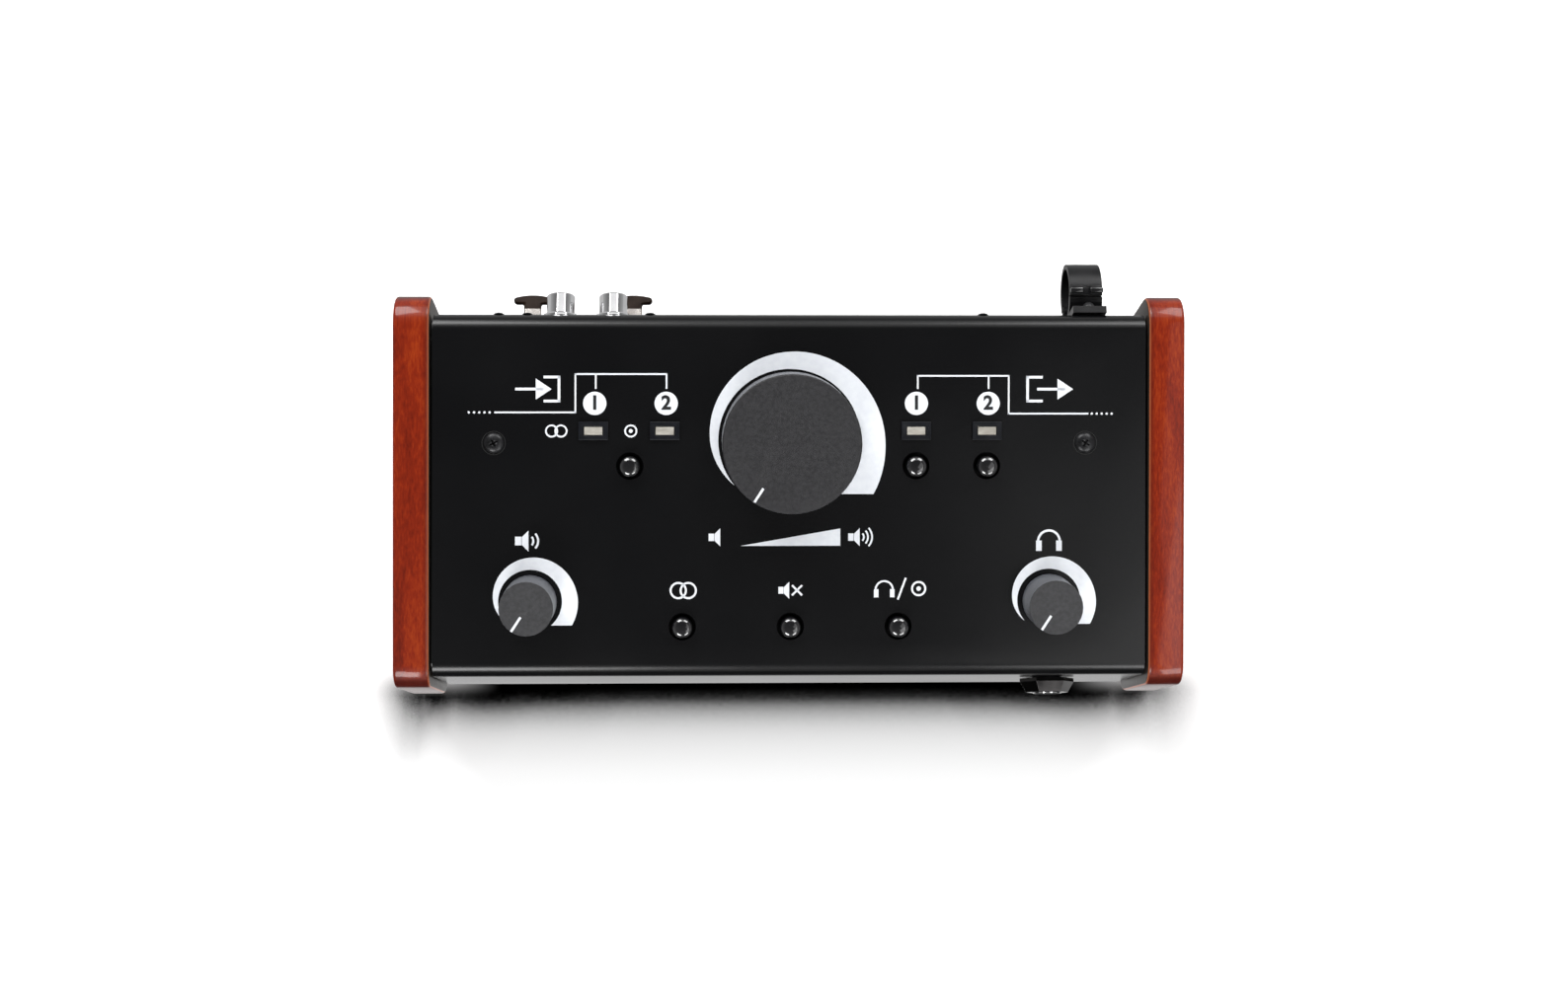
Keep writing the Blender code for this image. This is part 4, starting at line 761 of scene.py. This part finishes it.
def numeral(name, number, size, matrix, mat):
    """A plain numeral, centred."""
    drawn = bpy.data.curves.new(name, "FONT")
    drawn.body = str(number)
    drawn.size = size
    drawn.align_x = "CENTER"
    drawn.align_y = "CENTER"
    drawn.offset = size * NUMERAL_WEIGHT_SHARE
    guide = link(bpy.data.objects.new(name + "_drawn", drawn))
    mesh = final_mesh(guide)
    bpy.data.objects.remove(guide, do_unlink=True)
    mesh.materials.clear()
    mesh.materials.append(MATS[mat])
    obj = link(bpy.data.objects.new(name, mesh))
    obj.matrix_world = matrix
    bpy.context.view_layer.update()
    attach(obj, "case")


def arrow(length, width):
    """An arrow that points along +X from the origin."""
    head = ARROW_HEAD_SHARE * length
    half = ARROW_HALF_SHARE * length
    tip = [(length - head, half), (length, 0), (length - head, -half)]
    return stroke([(0, 0), (length - head * ARROW_OVERLAP_SHARE, 0)], width) + [tip]


def bracket(x, lip):
    """A square bracket with its back at x."""
    corners = [(x - lip, BRACKET_HALF), (x, BRACKET_HALF), (x, -BRACKET_HALF), (x - lip, -BRACKET_HALF)]
    return stroke(corners, BOLD_LINE)


def speaker(size, waves=0):
    """A loudspeaker seen from the side, about one size wide, and the waves that leave it."""
    shapes = scaled(SPEAKER_SHARES, size)
    for i in range(waves):
        radius = size * (WAVE_FIRST_SHARE + WAVE_STEP_SHARE * i)
        shapes += ring(0, 0, radius, size * WAVE_LINE_SHARE, -WAVE_ANGLE, WAVE_ANGLE, steps=12)
    return shapes


def headphones(size):
    """A headband over two ear pads."""
    radius, line = BAND_RADIUS_SHARE * size, BAND_LINE_SHARE * size
    shapes = ring(0, -BAND_DROP_SHARE * size, radius, line, end=180, steps=24)
    for side in (-1, 1):
        shapes += scaled([[(side * x, y) for x, y in EAR_SHARES]], size)
    return shapes


def two_rings(apart, radius, line):
    return ring(-apart, 0, radius, line) + ring(apart, 0, radius, line)


def dotted_ring(radius, dot, line):
    return ring(0, 0, radius, line) + disc(0, 0, dot, steps=16)


def make_signs():
    """Plain signs where the panel is marked: sound in and out, level, headphones, mono, mute and listen."""
    pointing = arrow(ARROW_LENGTH, BOLD_LINE)
    length, height = WEDGE
    wedge = [(-length, -height), (length, -height), (length, height)]
    left, right, rise = MUTE_CROSS
    signs = {
        "input": moved(pointing, ARROW_IN_START, 0) + bracket(BRACKET_X, BRACKET_LIP),
        "output": bracket(-BRACKET_X, -BRACKET_LIP) + moved(pointing, ARROW_OUT_START, 0),
        "input_1": two_rings(*STEREO_RINGS, FINE_LINE),
        "input_2": dotted_ring(*DOTTED_RING, FINE_LINE),
        "level": moved(speaker(LEVEL_SIZE), LEVEL_QUIET_X, 0) + [wedge]
        + moved(speaker(LEVEL_SIZE, waves=3), LEVEL_LOUD_X, 0),
        "auxiliary": speaker(AUXILIARY_SIZE, waves=2),
        "headphone": headphones(HEADPHONE_SIZE),
        "mono": two_rings(*MONO_RINGS, SIGN_LINE),
        "mute": speaker(MUTE_SIZE) + stroke([(left, rise), (right, -rise)], SIGN_LINE)
        + stroke([(left, -rise), (right, rise)], SIGN_LINE),
        "listen": moved(headphones(LISTEN_SIZE), LISTEN_X, 0) + stroke(LISTEN_SLASH, SIGN_LINE)
        + moved(dotted_ring(*LISTEN_RING, SIGN_LINE), LISTEN_RING_X, 0),
    }
    for name, shapes in signs.items():
        printed(f"{name}_sign", moved(shapes, *SIGN_PLACES[name]))


# Front and rear

SOCKET_EDGE = 0.0002
HEADPHONE = (0.0804, -0.0195)
HEADPHONE_RIM = ((0.00440, 0.00470), (0.00430, 0.00492), (0.00375, 0.00492), (0.00345, 0.00470),
                 (0.00332, 0.00400))
NUT_EDGE = 0.00025
COMBOS = ((1, -0.0793), (2, -0.0481))
COMBO_HEIGHT = 0.053
COMBO_FLANGE = 0.0028
COMBO_SCREWS = ((-0.0095, 0.0120), (0.0095, -0.0120))
CONTACT_CIRCLE = 0.0055
CONTACT_PROFILE = ((0.00115, -0.0030), (0.0008, -0.0030), (0.0008, -0.0075), (0, -0.0075))
LATCH_EDGE = 0.0003
LATCH_PALE_REACH = 0.0066  # the tab is pale up to here from the rear face and dark beyond, as painted reflection
PHONOS = ((1, -0.0698, "insulator_white"), (2, -0.0538, "insulator_red"))
PHONO_HEIGHT = 0.0775
PHONO_PROFILE = ((0, -0.0007), (0.0017, -0.0007), (0.0017, 0.0066), (0.0034, 0.0066), (0.0034, 0.0078),
                 (0.00385, 0.0078), (0.0043, 0.00735), (0.0043, 0.0013), (0.00535, 0.0013), (0.0058, 0.00085),
                 (0.0058, 0.0003), (0.0043, 0.0003), (0.0043, -0.0090), (0, -0.0090))
# A dark disc deep in each phono barrel's bore: painted shade.
PHONO_HOLE_SHADE = ((0.00168, -0.0005), (0, -0.0005))
INSULATOR_PROFILE = ((0.00330, 0.00665), (0.0032, 0.00695), (0.0020, 0.00695), (0.0018, 0.00665))
OUTPUTS = ((1, -0.00705), (2, 0.01295), (3, 0.03295), (4, 0.05295))
OUTPUT_HEIGHT = 0.040
OUTPUT_EDGE = 0.00015
THREAD_RADIUS = 0.00462
THREAD_FROM, THREAD_TO = 0.0028, 0.0048
THREAD_PITCH = 0.00045
THREAD_DEPTH_SHARE = 0.28
WASHER_PROFILE = ((0.0087, 0.00005), (0.0087, 0.0003), (0.0070, 0.0003))
LABEL_SIZE = 0.0040
OUTPUT_LABEL_RISE = 0.0125
COMBO_LABEL_DROP = 0.0190
INLET = (0.0880, 0.0270)
INLET_PIN = ((0, 0.0020), (0.0009, 0.0018), (0.00103, 0.0014), (0.00103, -0.0070))
CLAMP = (0.0910, 0.0715)
CLAMP_RADIUS = 0.0077
CLAMP_BAND = 0.0015
CLAMP_STANDOFF = 0.0012
CLAMP_WIDTH = 0.0100
CLAMP_NOTCH = 0.0022
CLAMP_BAR = 0.0015
CLAMP_BAR_FOOT = 0.0004
CLAMP_BAR_RISE = 0.0019
CLAMP_BAR_EDGE = 0.0003
CLAMP_BAR_ANGLE = math.radians(100.0)  # from straight out of the rear face, turning up
CLAMP_TONGUE_ANGLE = math.radians(117.0)
CLAMP_TONGUE = (0.0006, 0.00015)  # how far inside the band's inner side it starts and ends
CLAMP_TONGUE_HALF = 0.0016
CLAMP_TONGUE_EDGE = 0.0001
CLAMP_SCREW_RISE = 0.0115
CLAMP_SCREW_OUT = 0.0024


def thread(name, mat, matrix):
    """A ridged band that reads as a fine thread."""
    inner = THREAD_RADIUS - THREAD_PITCH * THREAD_DEPTH_SHARE
    profile = []
    count = int((THREAD_TO - THREAD_FROM) / THREAD_PITCH)
    for i in range(count):
        top = THREAD_TO - i * THREAD_PITCH
        profile += [(inner, top), (THREAD_RADIUS, top - THREAD_PITCH / 2)]
    profile.append((inner, THREAD_TO - count * THREAD_PITCH))
    turned(name, profile, mat, matrix, steps=40, smooth=15)


def make_front():
    dressed("headphone_socket", "socket_black", SOCKET_EDGE, smooth=30)
    dressed("headphone_nut", "shaded_nut_chrome", NUT_EDGE, smooth=25)
    turned("headphone_rim", HEADPHONE_RIM, "chrome", FRONT @ Matrix.Translation((*HEADPHONE, 0)))


def make_combos():
    for number, x in COMBOS:
        dressed(f"combo_socket_{number}", "socket_black", SOCKET_EDGE, smooth=30)
        two_tone(dressed(f"latch_tab_{number}", "latch_dark_reflection", LATCH_EDGE), LATCH_PALE_REACH, "latch_pale_reflection")
        at = on_rear(x, COMBO_HEIGHT)
        for count, (right, up) in enumerate(COMBO_SCREWS, 1):
            place = at @ Matrix.Translation((right, up, COMBO_FLANGE))
            screw(f"combo_screw_{number}_{count}", "combo", count, place)
        for count, turn in enumerate((0.0, math.pi / 2, math.pi), 1):
            place = (CONTACT_CIRCLE * math.cos(turn), -CONTACT_CIRCLE * math.sin(turn), 0)
            turned(f"combo_contact_{number}_{count}", CONTACT_PROFILE, "gold_contact",
                   at @ Matrix.Translation(place), steps=20)


def make_phonos():
    for number, x, insulator in PHONOS:
        at = on_rear(x, PHONO_HEIGHT)
        barrel = turned(f"phono_barrel_{number}", PHONO_PROFILE, "chrome", at, steps=96, smooth=30)
        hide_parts(f"phono_socket_{number}")
        turned(f"phono_hole_shade_{number}", PHONO_HOLE_SHADE, "painted_hole_shade", at, steps=32)
        turned(f"phono_insulator_{number}", INSULATOR_PROFILE, insulator, at)


def make_outputs():
    for number, x in OUTPUTS:
        at = on_rear(x, OUTPUT_HEIGHT)
        dressed(f"output_socket_{number}", "socket_black", OUTPUT_EDGE, smooth=30)
        thread(f"output_thread_{number}", "socket_black", at)
        turned(f"output_washer_{number}", WASHER_PROFILE, "plain_steel", at)
        above = on_rear(x, OUTPUT_HEIGHT + OUTPUT_LABEL_RISE, PRINT_LIFT)
        numeral(f"output_label_{number}", number, LABEL_SIZE, above, "print_white")


def make_combo_labels():
    for number, x in COMBOS:
        at = on_rear(x, COMBO_HEIGHT - COMBO_LABEL_DROP, PRINT_LIFT)
        numeral(f"combo_label_{number}", number, LABEL_SIZE, at, "print_white")


def make_inlet():
    dressed("power_inlet", "socket_black", SOCKET_EDGE, smooth=30)
    turned("power_pin", INLET_PIN, "chrome", on_rear(*INLET), steps=20)


def make_clamp():
    """The clamp and its screw, the bar in two halves that a nail lifts, and the tongue below it."""
    x, height = CLAMP
    dressed("clamp_base", "clamp_black", SOCKET_EDGE, smooth=30)
    dressed("clamp_strap", "clamp_black", SOCKET_EDGE, smooth=30)
    loop = Matrix.Translation((x, REAR_Y + CLAMP_STANDOFF + CLAMP_BAND + CLAMP_RADIUS, height))
    half = CLAMP_WIDTH / 2
    outer = CLAMP_RADIUS + CLAMP_BAND
    turn = loop @ Matrix.Rotation(CLAMP_BAR_ANGLE, 4, "X")
    for number, (left, right) in enumerate(((-half, -CLAMP_NOTCH / 2), (CLAMP_NOTCH / 2, half)), 1):
        block(f"clamp_bar_{number}", (left, outer + CLAMP_BAR_FOOT, -CLAMP_BAR / 2),
              (right, outer + CLAMP_BAR_RISE, CLAMP_BAR / 2), "button_black", turn,
              NODES["clamp_strap"]["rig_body"], CLAMP_BAR_EDGE, 3)
    turn = loop @ Matrix.Rotation(CLAMP_TONGUE_ANGLE, 4, "X")
    low, high = (CLAMP_RADIUS - inside for inside in CLAMP_TONGUE)
    block("clamp_tongue", (-half, low, -CLAMP_TONGUE_HALF), (half, high, CLAMP_TONGUE_HALF), "clamp_black",
          turn, bevel=CLAMP_TONGUE_EDGE)
    screw("clamp_screw", "clamp", 1, on_rear(x, height + CLAMP_SCREW_RISE, CLAMP_SCREW_OUT))


# Floor, light and camera

ROOM_WALL = 0.42
ROOM_CEILING = 0.07
FLOOR_REACH = 3.0
FLOOR_WHITE = (0.90, 0.90, 0.90, 1)
FLOOR_ROUGH = 0.9
FLOOR_LIFT = 0.48  # the floor's own white, for the camera alone
CONTACT_REACH = 0.030
CONTACT_SAMPLES = 32
CONTACT_SHADE = ((0.605, 0.0), (0.613, 0.007), (0.622, 0.034), (0.640, 0.155), (0.660, 0.29), (0.692, 0.405),
                 (0.735, 0.555), (0.777, 0.70), (0.820, 0.79), (0.853, 0.84), (0.92, 0.92), (1.0, 1.0))
# A painted black shadow line just under the front face, by how far ahead of it the floor lies
CONTACT_LINE = ((-0.0046, 0.02), (-0.0030, 0.14), (-0.0008, 0.82), (0.0015, 1.0), (0.0040, 1.0))
CONTACT_LINE_ENDS = (0.092, 0.110)  # sideways, where the painted shadow line under the front face ends
# Painted shadow round the front corners, taken off the occlusion, by sideways place
CORNER_SHADOW = ((-0.155, 0.0), (-0.145, 0.02), (-0.138, 0.06), (-0.1325, 0.10), (-0.128, 0.15), (-0.123, 0.19),
               (-0.118, 0.18), (-0.113, 0.08), (-0.107, 0.0), (0.107, 0.0), (0.113, 0.07), (0.118, 0.13),
               (0.124, 0.162), (0.129, 0.16), (0.1335, 0.145), (0.139, 0.09), (0.146, 0.03), (0.156, 0.0))
CORNER_FADE = (0.014, 0.050)  # ahead of the front face, where the corners' painted shadow ends
CONTACT_FADE = (0.006, 0.046)  # behind the front face, where the contact shade goes
BESIDE_FADE = 0.012  # the same beside the cheeks
FLOOR_MIRRORED = ((-0.60, 0.55), (-0.125, 0.55), (-0.105, 0.82), (0.012, 0.80), (0.030, 0.04), (0.30, 0.03),
                  (0.60, 0.30))
DESK = (0, 0, 0.05)
DESK_REAR = (0, 0.04, 0.06)
# Each soft box: where it hangs, what it is aimed at, its width and height, and its power
LAMPS = {
    "key": ((0.03, 0.67, 0.89), DESK_REAR, (1.40, 0.85), 3.3),
    "rear_left": ((-0.42, 0.66, 0.80), DESK_REAR, (0.54, 0.60), 7.2),
    "rear_right": ((0.50, 0.66, 0.80), DESK_REAR, (0.54, 0.60), 5.2),
    "right": ((0.46, -0.60, 0.72), DESK, (0.50, 0.50), 0.95),
    "right_high": ((0.50, -0.30, 0.95), DESK, (0.60, 0.45), 0.45),
    "front_left": ((-0.31, -0.98, 0.44), DESK, (0.42, 0.42), 5.2),
    "front_right": ((0.44, -0.93, 0.42), DESK, (0.42, 0.40), 3.0),
}
PHOTO_WIDTH_PX = 1588
FOCUS_PX = 2208.531
AXIS_OVER_MIDDLE_PX = 200  # the lens's axis meets the photograph this far above its middle
SENSOR_WIDTH = 36.0
CLIP_NEAR, CLIP_FAR = 0.01, 20
CAMERA_X, CAMERA_BEFORE_MARKS, CAMERA_HEIGHT = -0.0228444, 0.1344352, 0.7168376
CAMERA_PITCH, CAMERA_YAW, CAMERA_ROLL = 0.2962011, 0.0016208, -0.0321607


def floor_shade(tree, place, ahead):
    """How white the floor stays in front of the case, which closes it in."""
    # Contact shade from occlusion, with painted shadow round the front corners and along the front face
    closed_in = add(tree, "AmbientOcclusion", {"Distance": CONTACT_REACH}, samples=CONTACT_SAMPLES)
    fading = mapped(tree, ahead, CORNER_FADE[1], CORNER_FADE[0], smooth=True)
    corner_shadow = compute(tree, "MULTIPLY", grey_over(tree, place["X"], CORNER_SHADOW), fading)
    open_to = compute(tree, "SUBTRACT", closed_in.outputs["AO"], corner_shadow)
    contact = grey_over(tree, open_to, CONTACT_SHADE)
    ends = mapped(tree, compute(tree, "ABSOLUTE", place["X"]), *CONTACT_LINE_ENDS, smooth=True)
    line = mixed(tree, ends, grey_over(tree, ahead, CONTACT_LINE), WHITE)
    lined = mixed(tree, 1.0, contact, line, "MULTIPLY")
    behind = mapped(tree, place["Y"], FRONT_Y + CONTACT_FADE[0], FRONT_Y + CONTACT_FADE[1], smooth=True)
    soon = mapped(tree, place["Y"], FRONT_Y, FRONT_Y + BESIDE_FADE, smooth=True)
    gone = compute(tree, "MAXIMUM", behind, compute(tree, "MULTIPLY", soon, ends))
    return mixed(tree, gone, lined, WHITE)


def floor_finish():
    """White and matt, darker in front of the case, which closes it in.

    The camera sees it white away from the shadow. Gloss sees it pale beside the case, greyer behind it and
    dark ahead of it.
    """
    tree, shader = new_material("floor_white")
    place = own_place(tree)
    ahead = compute(tree, "SUBTRACT", FRONT_Y, place["Y"])
    shade = floor_shade(tree, place, ahead)
    fill(tree, shader, {"Base Color": mixed(tree, 1.0, shade, FLOOR_WHITE, "MULTIPLY"),
                        "Roughness": FLOOR_ROUGH, "Specular IOR Level": 0.0})
    rays = add(tree, "LightPath").outputs
    plain = shader.outputs["BSDF"]
    lift = add(tree, "Emission", {"Color": shade, "Strength": FLOOR_LIFT}).outputs["Emission"]
    lifted = add(tree, "AddShader", {0: plain, 1: lift}).outputs["Shader"]
    direct = add(tree, "MixShader", {"Fac": rays["Is Camera Ray"], 1: plain, 2: lifted}).outputs["Shader"]
    seen = add(tree, "Emission", {"Color": grey_over(tree, ahead, FLOOR_MIRRORED), "Strength": 1.0})
    most = compute(tree, "MAXIMUM", rays["Is Glossy Ray"], rays["Is Transmission Ray"])
    mirrored = add(tree, "MixShader", {"Fac": most, 1: direct, 2: seen.outputs["Emission"]})
    fill(tree, tree.nodes["Material Output"], {"Surface": mirrored.outputs["Shader"]})


def make_stage():
    floor_finish()
    bm = bmesh.new()
    bmesh.ops.create_grid(bm, x_segments=1, y_segments=1, size=FLOOR_REACH)
    mesh = bpy.data.meshes.new("floor")
    bm.to_mesh(mesh)
    bm.free()
    mesh.materials.append(MATS["floor_white"])
    link(bpy.data.objects.new("floor", mesh))


def make_room():
    """A world that is pale all round and dark overhead, and white to the camera."""
    world = bpy.context.scene.world or bpy.data.worlds.new("world")
    bpy.context.scene.world = world
    world.use_nodes = True
    tree = world.node_tree
    way = add(tree, "SeparateXYZ", {"Vector": add(tree, "TexCoord").outputs["Generated"]}).outputs
    room = tree.nodes["Background"]
    fill(tree, room, {"Color": WHITE, "Strength": mapped(tree, way["Z"], 0.0, 1.0, ROOM_WALL, ROOM_CEILING)})
    seen = add(tree, "Background", {"Color": WHITE, "Strength": 1.0}).outputs["Background"]
    to_camera = add(tree, "LightPath").outputs["Is Camera Ray"]
    mix = add(tree, "MixShader", {"Fac": to_camera, 1: room.outputs["Background"], 2: seen})
    fill(tree, tree.nodes["World Output"], {"Surface": mix.outputs["Shader"]})


def make_lamps():
    """Soft boxes behind the case, to its right and in front of it."""
    for name, (where, aim, (width, height), power) in LAMPS.items():
        lamp = bpy.data.lights.new(name, "AREA")
        lamp.energy = power
        lamp.shape = "RECTANGLE"
        lamp.size = width
        lamp.size_y = height
        obj = link(bpy.data.objects.new(name, lamp))
        obj.location = where
        obj.rotation_euler = (Vector(aim) - Vector(where)).to_track_quat("-Z", "Y").to_euler()


def make_camera():
    data = bpy.data.cameras.new("camera")
    data.sensor_fit = "HORIZONTAL"
    data.sensor_width = SENSOR_WIDTH
    data.lens = FOCUS_PX / PHOTO_WIDTH_PX * SENSOR_WIDTH
    data.shift_y = -AXIS_OVER_MIDDLE_PX / PHOTO_WIDTH_PX
    data.clip_start = CLIP_NEAR
    data.clip_end = CLIP_FAR
    obj = link(bpy.data.objects.new("camera", data))
    turn = (Matrix.Rotation(CAMERA_YAW, 4, "Z") @ Matrix.Rotation(CAMERA_PITCH, 4, "X")
            @ Matrix.Rotation(CAMERA_ROLL, 4, "Y"))
    obj.matrix_world = Matrix.Translation((CAMERA_X, MARKS_Y - CAMERA_BEFORE_MARKS, CAMERA_HEIGHT)) @ turn
    bpy.context.scene.camera = obj


make_case()
make_screws()
make_crescents()
make_traces()
make_numbers()
make_signs()
make_knobs()
make_buttons()
make_front()
make_combos()
make_phonos()
make_outputs()
make_combo_labels()
make_inlet()
make_clamp()
make_stage()
make_room()
make_lamps()
make_camera()

scene = bpy.context.scene
scene.view_settings.view_transform = "Standard"
